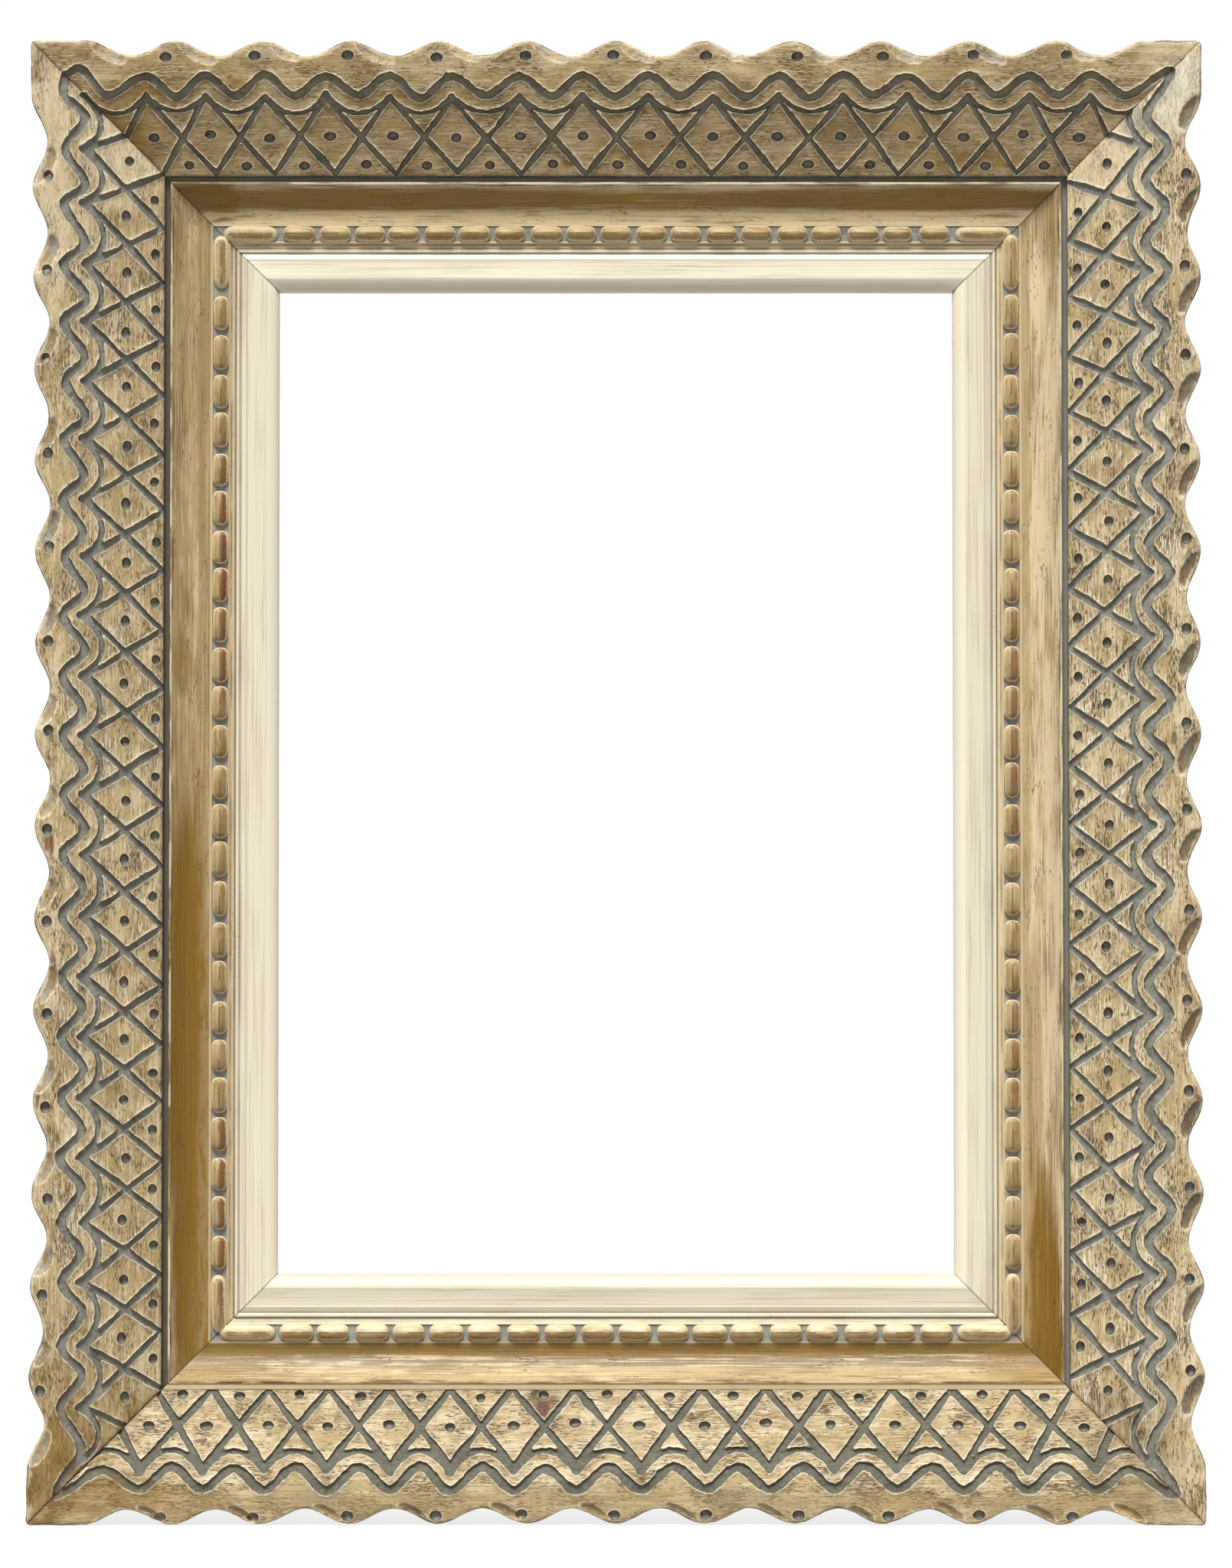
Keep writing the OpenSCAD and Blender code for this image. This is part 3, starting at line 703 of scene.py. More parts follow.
def cove_section(side):
    """The applied moulding across its length, in from the rim and up from the back."""
    deep = PANEL_H - FLOOR_H
    wide = BEAD_U - COVE_START
    groove_h = PANEL_H - (FILLED_DEEP if side == FILLED else GROOVE_DEEP)
    points = [(IN_MOULDING, SHELF_H), (IN_MOULDING, groove_h), (LIP_U - 0.1, groove_h)]
    points += [(LIP_U, PANEL_H - 0.45), (LIP_U + 0.35, PANEL_H - 0.08)]
    points += [(COVE_START - 0.3, PANEL_H - 0.05)]
    for i in range(1, COVE_STEPS + 1):
        left = (1 - i / COVE_STEPS) ** 1.3
        points.append((BEAD_U - wide * left, FLOOR_H + deep * left ** 2.6))
    # A raised line each side of the beads' bed
    points += [(BEAD_U + 0.25, FLOOR_H + 0.1), (BEAD_U + 0.5, FLOOR_H - 0.55)]
    points += [(FILLET_U - 0.6, FLOOR_H - 0.55), (FILLET_U - 0.35, FLOOR_H + 0.05)]
    points += [(FILLET_U + 0.1, FLOOR_H), (FILLET_U + 0.35, FILLET_H)]
    points += [(IN_LINER - 0.5, FILLET_H - 0.05), (IN_LINER, FILLET_H - 0.4)]
    points += [(IN_LINER, LAP_H), (SHELF_END, LAP_H), (SHELF_END, SHELF_H)]
    return points


def liner_section():
    """The liner across its length."""
    start = SHELF_END + LINER_GAP
    crown = IN_SIGHT - BEVEL_W
    line_h = FILLET_H + LINE_RISE
    quirk = LINER_U + LINE_W
    points = [(start, LINER_BACK), (start, LAP_H - LINER_GAP), (LINER_U, LAP_H - LINER_GAP)]
    points += [(LINER_U, line_h - 0.3), (LINER_U + 0.35, line_h), (quirk - 0.4, line_h)]
    points += [(quirk, FILLET_H + 0.25), (quirk + 0.45, FILLET_H - 0.1)]
    points += [(quirk + 1.0, FILLET_H + 0.3)]
    points += [(LINER_U + 5.2, FILLET_H + 1.5), (LINER_U + 5.6, FILLET_H + 1.45)]
    points += [(crown - 0.7, CROWN_H - 0.1), (crown, CROWN_H), (crown + 0.7, CROWN_H - 0.25)]
    points += [(IN_SIGHT - 2.2, CROWN_H - 1.7), (IN_SIGHT - 0.35, SIGHT_EDGE_H + 0.35)]
    points += [(IN_SIGHT, SIGHT_EDGE_H - 0.3), (IN_SIGHT, LEDGE_H)]
    points += [(IN_SIGHT - RECESS_W, LEDGE_H), (IN_SIGHT - RECESS_W, LINER_BACK)]
    return points


def drawn_line(name, places):
    """A new piece begun at one point and drawn on from place to place, still in edit mode."""
    bpy.ops.object.select_all(action="DESELECT")
    bpy.ops.mesh.primitive_plane_add(size=MM, location=(0, 0, 0))
    piece = bpy.context.object
    piece.name = piece.data.name = name
    bpy.ops.object.mode_set(mode="EDIT")
    bpy.ops.mesh.select_all(action="SELECT")
    bpy.ops.mesh.merge(type="CENTER")
    bpy.ops.transform.translate(value=places[0])
    for a, b in zip(places, places[1:]):
        bpy.ops.mesh.extrude_region_move(TRANSFORM_OT_translate={"value": b - a})
    bpy.ops.mesh.select_all(action="SELECT")
    return piece


def planed_length(name, section, side):
    """A moulding run: its section is filled, drawn out along the side in bays, cut to the
    mitres at both ends and set in place."""
    half = length_of(side) / 2 * MM
    piece = drawn_line(name, [Vector((-half, u * MM, h * MM)) for u, h in section])
    bpy.ops.mesh.edge_face_add()
    for _ in range(BAYS):
        bpy.ops.mesh.extrude_region_move(TRANSFORM_OT_translate={"value": (2 * half / BAYS, 0, 0)})
    for sign in (-1, 1):
        bpy.ops.mesh.select_all(action="SELECT")
        bpy.ops.mesh.bisect(plane_co=(sign * (half - SEAM_HALF * MM), 0, 0),
                            plane_no=(sign, 1, 0), use_fill=True, clear_outer=True)
    bpy.ops.mesh.select_all(action="SELECT")
    bpy.ops.mesh.remove_doubles(threshold=MERGE)
    face_outward()
    waver(piece)
    piece.matrix_world = stand_up(side)
    bpy.ops.object.transform_apply(location=True, rotation=True, scale=True)
    bpy.ops.object.shade_smooth_by_angle(angle=math.radians(32))
    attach(piece, "frame")
    return piece


def waver(piece):
    """The slight unevenness that a hand plane leaves."""
    pick(piece)
    hand = bpy.data.textures.new("plane_marks", "CLOUDS")
    hand.noise_scale = PLANE_STROKE
    uneven = piece.modifiers.new("uneven", "DISPLACE")
    uneven.texture = hand
    uneven.strength = PLANE_MARK
    uneven.mid_level = 0.55
    bpy.ops.object.modifier_apply(modifier=uneven.name)


# A side's beads, and the length that they leave plain at each end
BEADS = {"top": 19, "bottom": 18, "left": 25, "right": 25}
BEAD_PLAIN = {"top": 26.0, "bottom": 25.2, "left": 26.0, "right": 26.0}
BEAD_GAP = 2.3
BEAD_R = 4.15
# One end of a bead's outline: in from its end, and share of its full radius
BEAD_END = ((0.0, 0.30), (0.5, 0.62), (1.5, 0.88), (3.0, 1.0))
END_BEAD_FLAT = 0.75
BEAD_FACES = 10
BEAD_RIDGE = 0.35


def first_bead(name, long):
    """One bead about the origin: half its outline is drawn and spun over from side to side."""
    half = [(end - long / 2, share * BEAD_R) for end, share in BEAD_END]
    outline = [(-long / 2, 0)] + half + [(-x, r) for x, r in half[::-1]] + [(long / 2, 0)]
    bead = drawn_line(name, [Vector((x * MM, r * MM, 0)) for x, r in outline])
    bpy.ops.mesh.spin(steps=BEAD_FACES, angle=math.radians(-180), center=(0, 0, 0), axis=(1, 0, 0))
    bpy.ops.mesh.select_all(action="SELECT")
    bpy.ops.mesh.remove_doubles(threshold=MERGE)
    bpy.ops.mesh.fill_holes(sides=0)
    face_outward()
    # The cutter leaves a fine ridge along its top
    for v in bead.data.vertices:
        if v.co.z > 0.9 * BEAD_R * MM:
            v.co.z += BEAD_RIDGE * MM
    return bead


def bead_row(side):
    """The beads of one side: the first is copied along, each cut a little differently."""
    count = BEADS[side]
    run = length_of(side) - 2 * (FILLET_U + BEAD_PLAIN[side])
    pitch = run / count
    first = first_bead("bead_row_" + side, pitch - BEAD_GAP)
    shape = first.data.copy()
    rng = np.random.default_rng(PATTERNS[side].seed + 30)
    beads = []
    # A long plain bead, cut flatter, fills each end up to the mitre
    plain = BEAD_PLAIN[side] - BEAD_W / 2 + FILLET_U - BEAD_U - BEAD_GAP / 2
    places = [((i + 0.5) * pitch - run / 2, 1.0, 0.94) for i in range(count)]
    for sign in (-1, 1):
        middle = sign * (run + BEAD_GAP + plain) / 2
        places.append((middle, plain / (pitch - BEAD_GAP), END_BEAD_FLAT))
    for i, (middle, long, high) in enumerate(places):
        x = middle + rng.normal(0, 0.35)
        bead = first if i == 0 else first.copy()
        bead.data = shape.copy()
        place = Matrix.Translation((x * MM, (BEAD_U + BEAD_W / 2) * MM, (FLOOR_H - 0.6) * MM))
        turn = Matrix.Rotation(rng.normal(0, 0.02) / long, 4, "Z")
        size = Matrix.Diagonal((long * (1 + rng.normal(0, 0.035)), 1 + rng.normal(0, 0.03),
                                high + rng.normal(0, 0.03), 1))
        bead.data.transform(stand_up(side) @ place @ turn @ size)
        if i:
            bpy.context.scene.collection.objects.link(bead)
        beads.append(bead)
    bpy.ops.object.select_all(action="DESELECT")
    for bead in beads:
        bead.select_set(True)
    bpy.context.view_layer.objects.active = first
    bpy.ops.object.join()
    bpy.ops.object.shade_smooth_by_angle(angle=math.radians(50))
    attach(first, "frame")
    return first


def cove_moulding(side):
    """The applied moulding of one side, without its beads."""
    piece = planed_length("cove_run_" + side, cove_section(side), side)
    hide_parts("cove_moulding_" + side)
    return piece


def liner_rail(side):
    """One side of the inner frame that holds a picture."""
    piece = planed_length("liner_run_" + side, liner_section(), side)
    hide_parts("liner_rail_" + side)
    return piece


# Finishes


def paint(red, green, blue):
    """A colour as a screen shows it, from 0 to 255, in the shaders' own measure."""
    return tuple(((c / 255 + 0.055) / 1.055) ** 2.4 for c in (red, green, blue)) + (1.0,)


TAN = paint(187, 162, 115)
CREAM = paint(226, 206, 166)
FAWN = paint(158, 133, 88)
UMBER = paint(104, 76, 40)
CRACK = paint(52, 37, 20)
GREY = paint(148, 147, 137)
SLATE = paint(100, 94, 80)
# Soot, also laid as painted shade in the grooves and the punched dots
SOOT_AND_SHADE = paint(74, 62, 44)
CHALK = paint(184, 182, 172)
OCHRE = paint(132, 97, 0)
OLIVE = paint(100, 76, 20)
AMBER = paint(124, 90, 6)
DUN = paint(126, 104, 60)
RUSSET = paint(104, 48, 18)
IVORY = paint(238, 229, 203)
BONE = paint(214, 201, 171)
PEARL = paint(255, 243, 216)
GOLD = paint(162, 121, 18)
SHELL = paint(206, 197, 172)
HONEY = paint(255, 228, 178)
DUST = paint(168, 154, 128)
BARE = paint(158, 124, 82)
OLD_BARE = paint(104, 76, 46)
BRASS = paint(168, 134, 70)
IRON = paint(110, 106, 100)


# A Mix node's sockets for two colours and for the mixed one
MIX_A, MIX_B, MIXED = 6, 7, 2


class Tone:
    """A shader socket that is added, subtracted and multiplied as a number is."""

    def __init__(self, shading, socket):
        self.shading = shading
        self.socket = socket

    def math(self, operation, a, b):
        return self.shading.node("Math", {"operation": operation}, {0: a, 1: b})

    def __add__(self, other):
        return self.math("ADD", self, other)

    def __radd__(self, other):
        return self.math("ADD", other, self)

    def __sub__(self, other):
        return self.math("SUBTRACT", self, other)

    def __rsub__(self, other):
        return self.math("SUBTRACT", other, self)

    def __mul__(self, other):
        return self.math("MULTIPLY", self, other)

    def __rmul__(self, other):
        return self.math("MULTIPLY", other, self)

    def __abs__(self):
        return self.math("ABSOLUTE", self, 0)


class Shading:
    """The nodes behind one shader, of a material or of the room's light."""

    def __init__(self, owner, shader):
        owner.use_nodes = True
        self.nodes = owner.node_tree.nodes
        self.links = owner.node_tree.links
        self.shader = self.nodes[shader]

    def give(self, socket, value):
        """Links a tone to a socket, or sets the socket to a plain value."""
        if isinstance(value, Tone):
            self.links.new(value.socket, socket)
        else:
            socket.default_value = value

    def feed(self, name, value):
        """Gives one of the shader's own sockets a tone or a value."""
        self.give(self.shader.inputs[name], value)

    def node(self, kind, settings=(), sockets=(), out=0):
        """Adds a node: its settings first, then the values or links of its sockets."""
        made = self.nodes.new("ShaderNode" + kind)
        for name, value in dict(settings).items():
            setattr(made, name, value)
        for name, value in dict(sockets).items():
            self.give(made.inputs[name], value)
        return made if out is None else Tone(self, made.outputs[out])

    def seen_directly(self):
        """1 for what the camera, a reflection or glass shows, 0 for other light."""
        path = self.node("LightPath", out=None)
        seen = Tone(self, path.outputs["Is Camera Ray"])
        for name in ("Is Glossy Ray", "Is Transmission Ray"):
            seen = seen.math("MAXIMUM", seen, Tone(self, path.outputs[name]))
        return seen


class Finish(Shading):
    """One material, laid coat over coat. Its places are those of a side lying down: x along,
    u in, h up."""

    def __init__(self, name, side, ground):
        self.made = bpy.data.materials.new(name)
        super().__init__(self.made, "Principled BSDF")
        self.colour = ground
        self.half = length_of(side) / 2
        lying = stand_up(side).inverted()
        here = self.node("TexCoord", out="Object")
        self.place = self.node("Mapping", sockets={
            "Vector": here, "Scale": (1 / MM, 1 / MM, 1 / MM),
            "Rotation": lying.to_euler(), "Location": lying.translation / MM})
        parts = self.node("SeparateXYZ", sockets={"Vector": self.place}, out=None)
        self.x, self.u, self.h = (Tone(self, socket) for socket in parts.outputs)

    def attribute(self, name):
        return self.node("Attribute", {"attribute_name": name}, out="Fac")

    def band(self, value, low, high):
        """0 up to low and 1 from high on, with a soft step between. Low may be above high."""
        falls = low > high
        return self.node("MapRange", {"interpolation_type": "SMOOTHSTEP"}, {
            "Value": value, "From Min": min(low, high), "From Max": max(low, high),
            "To Min": float(falls), "To Max": float(not falls)})

    def strip(self, value, at, rise, fall):
        """1 between two soft steps, which are given as distances past the value at."""
        rising = self.band(value, at + rise[0], at + rise[1])
        return rising * self.band(value, at + fall[1], at + fall[0])

    def from_mitre(self):
        """How far a place lies from the nearer mitre, along the side."""
        return self.half - abs(self.x) - self.u

    def grain(self, along, across, seed=0.0, detail=2.0):
        """Noise about 0.5 whose spots are so long along the side and so wide across it."""
        where = self.node("Mapping", sockets={
            "Vector": self.place, "Scale": (1 / along, 1 / across, 1 / across),
            "Location": (seed * 17.3, seed * 5.1, seed * 9.7)})
        return self.node("TexNoise", sockets={"Vector": where, "Scale": 1.0, "Detail": detail})

    def patch(self, x, u, reach_x, reach_u, soft=0.35, ragged=0.5):
        """1 within an uneven oval about a place, 0 outside."""
        where = self.node("Mapping", sockets={
            "Vector": self.place, "Scale": (1 / reach_x, 1 / reach_u, 0),
            "Location": (-x / reach_x, -u / reach_u, 0)})
        away = self.node("VectorMath", {"operation": "LENGTH"}, {0: where}, out="Value")
        uneven = self.node("TexNoise", sockets={"Vector": where, "Scale": 2.3, "Detail": 5.0})
        return self.band(away + (uneven - 0.5) * (2 * ragged), 1 + soft, 1 - soft)

    def mix(self, a, b, share):
        return self.node("Mix", {"data_type": "RGBA"}, {0: share, MIX_A: a, MIX_B: b}, out=MIXED)

    def coat(self, tone, share):
        """Lays one more tone over the colour so far."""
        self.colour = self.mix(self.colour, tone, share)

    def finish(self, roughness, relief):
        """Closes the material: relief is in millimetres."""
        bump = self.node("Bump", sockets={"Height": relief, "Distance": MM, "Strength": 1.0})
        self.feed("Base Color", self.colour)
        self.feed("Roughness", roughness)
        self.feed("Normal", bump)
        return self.made


# Stains, knots and losses of the carved rails: how far along the side and in from the rim,
# reach along and in, colour and strength. Those of olive and amber are varnish, which has run
MARKS = {
    "bottom": (
        (-268, 44, 26, 24, OCHRE, 0.3), (-275, 14, 42, 18, AMBER, 0.6), (-225, 12, 30, 8, OCHRE, 0.35),
        (268, 30, 32, 26, OLIVE, 0.5), (282, 8, 16, 9, CREAM, 0.5), (-37, 58, 3.2, 4.6, RUSSET, 1.5),
        (-40, 66, 2.4, 1.8, CRACK, 1.4), (-38, 60, 9, 5, UMBER, 0.7),
        (-150, 14, 12, 4, GREY, 0.5), (60, 14, 14, 4, GREY, 0.45), (0, 8, 260, 9, FAWN, 0.6)),
    "right": (
        (-290, 50, 7, 5, CREAM, 0.6), (-293, 49.5, 4.4, 3.8, UMBER, 1.0),
        (-261, 53, 5, 4, CREAM, 0.8),
        (-345, 45, 34, 28, OLIVE, 0.5), (21, 15, 3.4, 1.4, CRACK, 0.7),
        (-157, 4, 6, 3, RUSSET, 0.7), (-60, 2, 6, 3, RUSSET, 0.7),
        (-40, 12, 5, 2.2, UMBER, 0.7), (318, 46, 30, 18, CREAM, 0.8),
        (350, 12, 24, 13, IVORY, 0.7), (334, 34, 9, 7, GREY, 0.5)),
    "top": (
        (262, 52, 26, 17, AMBER, 0.95), (238, 28, 26, 9, OCHRE, 0.6),
        (-284, 8, 18, 9, CREAM, 0.7), (24, 60, 3.2, 2.6, OCHRE, 1.0),
        (-6, 54, 18, 5, OCHRE, 0.6), (190, 24, 12, 5, OCHRE, 0.6),
        (-260, 48, 14, 14, CREAM, 0.5), (-115, 44, 22, 9, UMBER, 0.5),
        (-180, 60, 30, 5, OCHRE, 0.5), (100, 30, 34, 5, OCHRE, 0.5)),
    "left": (
        (-318, 46, 26, 16, CREAM, 0.7), (-300, 12, 62, 9, CREAM, 0.6),
        (32, 11, 8, 2.4, RUSSET, 0.8), (95, 13, 10, 1.6, RUSSET, 0.7),
        (157, 5, 8, 1.8, RUSSET, 0.7), (338, 38, 40, 34, AMBER, 0.4),
        (300, 20, 40, 16, OCHRE, 0.3), (350, 12, 30, 16, AMBER, 0.6)),
}
# Where the outer band ends and the lattice begins, in from the rim
LATTICE_EDGE = (26, 34)
# How far old varnish and painted shade darken a side's lattice and its outer band: most on the top,
# then the left, the sides turned from the light
VARNISH_AND_SHADE = {"top": (0.40, 0.32), "bottom": (0.0, 0.0), "left": (0.12, 0.08), "right": (0.0, 0.0)}
# The grey paint in a side's grooves, painted darker on the bottom where the light falls full on it,
# and how dark their walls are with dirt and painted shade, darkest on the top
GROOVE_PAINT_AND_SHADE = {"top": (paint(150, 142, 120), 1.15), "bottom": (paint(103, 100, 83), 0.15),
                "left": (paint(138, 135, 122), 0.6), "right": (paint(140, 138, 125), 0.4)}
# How much a side is rubbed pale rather than grimed: real wear, and painted light, strongest on the
# right, the side that faces the light
WEAR_AND_LIGHT = {"top": 0.9, "bottom": 0.9, "left": 1.3, "right": 1.6}
# How thickly the small nicks lie on a side
NICKS = {"top": 0.4, "bottom": 0.5, "left": 0.5, "right": 0.8}
# The two colours of the rim's gouged hollows
HOLLOWS = {"top": (GREY, TAN), "bottom": (FAWN, TAN), "left": (GREY, FAWN),
           "right": (UMBER, SLATE)}
# How open the mitre is at a side's start and end
MITRE_OPEN = {"bottom": (1.0, 0.5), "right": (0.5, 0.1), "top": (0.1, 0.5), "left": (0.5, 1.0)}
# How far in from the edge the rim is worn pale, with a painted highlight along it
RIM_WORN_AND_LIT = {"top": 2.2, "bottom": 1.4, "left": 2.2, "right": 2.2}


def carved_finish(side):
    """Old tan paint over wood, rubbed cream at the cuts with painted highlights there, with grey paint
    laid in the grooves, and painted light and shade that differ from side to side.
    """
    wood = Finish("old_paint_" + side, side, TAN)
    cut, dot, facet, rim, seam = (
        wood.attribute(name) for name in ("cut", "dot", "facet", "rim", "seam"))
    cloud = wood.grain(30, 17, 1, 4)
    strokes = wood.grain(42, 1.0, 2, 4)
    hair = wood.grain(12, 0.4, 3, 3)
    grit = wood.grain(1.1, 0.8, 4, 3)
    cluster = wood.grain(15, 9, 5, 3)
    flecks = wood.grain(2.8, 0.5, 6, 3)
    smear = wood.grain(9, 2.6, 7, 5)

    # The flat paint: soft patches, brush strokes and fine hair lines along the grain
    wood.coat(FAWN, wood.band(cloud + 0.8 * (strokes - 0.5), 0.45, 0.62) * 0.9)
    rubbed = wood.band(wood.grain(24, 9, 8, 4) + 1.1 * (strokes - 0.5), 0.50, 0.62)
    wood.coat(CREAM, rubbed * 0.8)
    scuffed = wood.band(smear + 1.2 * (hair - 0.5), 0.55, 0.64)
    wood.coat(CREAM, scuffed * (0.45 * WEAR_AND_LIGHT[side]))
    # Ivory glints: bright scratches and painted highlights, more of them where a side is worn and lit
    bright_scratch_and_glint = wood.band(wood.grain(8, 0.8, 13, 4) + 0.6 * (cloud - 0.5), 0.60, 0.68)
    wood.coat(IVORY, bright_scratch_and_glint * (0.6 * WEAR_AND_LIGHT[side]))
    grimed = wood.band(hair + 0.35 * (cluster - 0.5), 0.56, 0.71)
    wood.coat(UMBER, grimed * (0.5 / WEAR_AND_LIGHT[side]))
    stained = wood.band(smear + 0.9 * (cluster - 0.5), 0.64, 0.78)
    wood.coat(UMBER, stained * (0.35 / WEAR_AND_LIGHT[side]))
    fleck = wood.band(flecks + 0.55 * (cluster - 0.5), 0.60, 0.67)
    wood.coat(UMBER, fleck * 0.95)
    nick = wood.band(wood.grain(4.2, 0.75, 12, 1) + 0.35 * (cluster - 0.5), 0.64, 0.67)
    wood.coat(SOOT_AND_SHADE, nick * NICKS[side])
    # Amber over the lattice and the band: old varnish, and painted shade on the sides turned from the
    # light
    lattice, outer = VARNISH_AND_SHADE[side]
    inward = wood.band(wood.u + 8 * (cloud - 0.5), *LATTICE_EDGE)
    if lattice:
        wood.coat(AMBER, inward * (0.6 + 0.8 * smear) * lattice)
        wood.coat(AMBER, (1 - inward) * cloud * (2 * outer))
    for x, u, reach_x, reach_u, stain, strength in MARKS[side]:
        spot = wood.patch(x, u, reach_x, reach_u) * (0.2 + 1.5 * smear)
        wood.coat(stain, spot * strength)

    # Burrs rubbed bright beside the cuts, chipped here and there: worn paint, and painted highlight
    # where the edges catch the light
    whole = wood.band(wood.grain(5, 3.5, 9, 3), 0.62, 0.50)
    lip = wood.strip(cut, 0, (-0.15, 0.05), (0.25, 0.85))
    lip_of_dot = wood.strip(dot, 0, (-0.1, 0.05), (0.25, 0.8))
    wood.coat(IVORY, lip * whole * 0.75)
    wood.coat(CREAM, lip_of_dot * whole * 0.5)

    # Grey paint laid in the grooves, darker on the walls with dirt and painted shade, and where cuts
    # meet
    laid, dirt_and_shade = GROOVE_PAINT_AND_SHADE[side]
    paint_tone = wood.mix(laid, SLATE, wood.band(wood.grain(7, 5, 10, 4), 0.48, 0.68) * 0.5)
    paint_tone = wood.mix(paint_tone, CHALK, wood.band(grit + 0.4 * (smear - 0.5), 0.62, 0.8) * 0.3)
    wall = wood.band(cut, -0.5, -0.2)
    paint_tone = wood.mix(paint_tone, SOOT_AND_SHADE, wall * (0.3 + 0.9 * cluster) * dirt_and_shade)
    wood.coat(paint_tone, wood.band(cut + 0.5 * (grit - 0.5), 0.05, -0.22))

    # Old varnish ran into the grooves where it lies thickest
    for x, u, reach_x, reach_u, stain, strength in MARKS[side]:
        if stain in (OLIVE, AMBER):
            run = wood.patch(x, u, reach_x, reach_u) * wood.band(cluster, 0.42, 0.60)
            wood.coat(stain, run * (0.55 * strength))

    # The punched dots: grey, with painted shade deep inside them
    pit = wood.mix(GREY, SOOT_AND_SHADE, wood.band(dot, -0.9, -0.4) * 0.7)
    pit = wood.mix(pit, CRACK, wood.band(wood.grain(5, 4, 11, 2), 0.52, 0.66) * 0.5)
    wood.coat(pit, wood.band(dot, 0.05, -0.25))

    # Gouged hollows at the rim; the worn edge itself, pale with wear and painted highlight, with a
    # dark line of bare wood and painted shade along it; and the side below it
    hollow = wood.mix(*HOLLOWS[side], wood.band(smear + 0.5 * (cloud - 0.5), 0.38, 0.60))
    hollow = wood.mix(hollow, UMBER, wood.band(hair + 0.5 * (cluster - 0.5), 0.5, 0.72) * 0.7)
    wood.coat(hollow, wood.band(facet + 0.25 * (grit - 0.5), 0.98, 0.86) * 0.85)
    edge_of_hollow = wood.strip(facet, 0, (0.9, 1.0), (1.02, 1.22))
    wood.coat(CREAM, edge_of_hollow * whole * 0.7)
    worn = wood.band(rim + 5 * (smear - 0.5), RIM_WORN_AND_LIT[side], RIM_WORN_AND_LIT[side] * 0.4)
    wood.coat(CREAM, worn * 0.7)
    bare_and_shaded_edge = wood.band(rim, 1.3, 0.4) * wood.band(wood.grain(11, 7, 14, 4), 0.50, 0.58)
    wood.coat(UMBER, bare_and_shaded_edge * 0.75)
    below = wood.band(wood.h, RIM_H - 3.6, RIM_H - 5.5) * wood.band(wood.u, 16, 14)
    side_tone = wood.mix(FAWN, DUST, wood.band(cloud + 0.5 * (smear - 0.5), 0.42, 0.6))
    side_tone = wood.mix(side_tone, UMBER, wood.band(hair + 0.6 * (cluster - 0.5), 0.5, 0.7) * 0.8)
    side_tone = wood.mix(side_tone, OLD_BARE, wood.band(wood.h + 9 * (cloud - 0.5), 9, 3) * 0.8)
    wood.coat(side_tone, below)

    # The mitre has opened to a dark crack, and the back is bare wood
    start, end = MITRE_OPEN[side]
    opened = start + wood.band(wood.x, -1, 1) * (end - start)
    crack = wood.band(seam + 0.6 * (grit - 0.5), 0.35, 0.05) * opened
    grime = wood.band(seam + 3 * (smear - 0.5), 2.2, 0.2) * opened
    wood.coat(UMBER, grime * 0.5)
    wood.coat(CRACK, crack * 0.95)
    back = wood.band(wood.h, 1.6, 0.7)
    raw = wood.mix(BARE, OLD_BARE, wood.band(strokes + 0.6 * (cloud - 0.5), 0.4, 0.7))
    raw = wood.mix(raw, CRACK, wood.band(hair, 0.6, 0.75) * 0.6)
    wood.coat(raw, back)

    sunk = wood.band(cut, 0.05, -0.3)
    roughness = 0.46 + 0.16 * cloud + 0.14 * sunk + 0.2 * back
    relief = 0.14 * strokes + 0.10 * hair - 0.2 * fleck - (0.4 * NICKS[side]) * nick
    relief = relief + 0.12 * grit + 0.16 * smear
    return wood.finish(roughness, relief)


# The cove's colour at its lip, middle and foot on each side, where the lip's ends
# and the foot's begins, and its ochre pools. The colours are wear and painted light: the top cove's
# pale foot is a painted highlight
COVE_TONES = {
    "top": (CREAM, GOLD, HONEY, 72.5, 81.5), "bottom": (TAN, DUN, OLIVE, 76.0, 82.6),
    "left": (TAN, TAN, FAWN, 72.0, 82.0), "right": (CREAM, CREAM, TAN, 72.0, 84.0)}
COVE_POOLS = {
    "top": ((-150, 77.5, 120, 5, 0.7), (120, 77.5, 130, 5, 0.7), (212, 79, 22, 12, 1.0)),
    "bottom": ((-212, 82, 34, 12, 0.4), (0, 87.5, 260, 4, 0.7), (215, 82, 34, 12, 0.6)),
    "left": ((130, 79, 125, 10, 1.0), (250, 82, 70, 9, 0.9), (-60, 76, 16, 4, 0.5)),
    "right": ((-275, 80, 76, 9, 1.0), (-150, 84, 70, 4, 0.45), (290, 76, 30, 8, 0.4))}
# The fillet's colour and how much of it is left
FILLET_TONES = {"top": (CREAM, 0.85), "bottom": (IVORY, 0.9),
                "left": (CREAM, 0.6), "right": (CREAM, 0.85)}
# The paint in the straight groove, with painted shade: darkest on the left, where the groove lies in
# shade
COVE_GROOVE = {"top": (SLATE, GREY), "bottom": (TAN, CREAM),
               "left": (SOOT_AND_SHADE, SLATE), "right": (SLATE, GREY)}


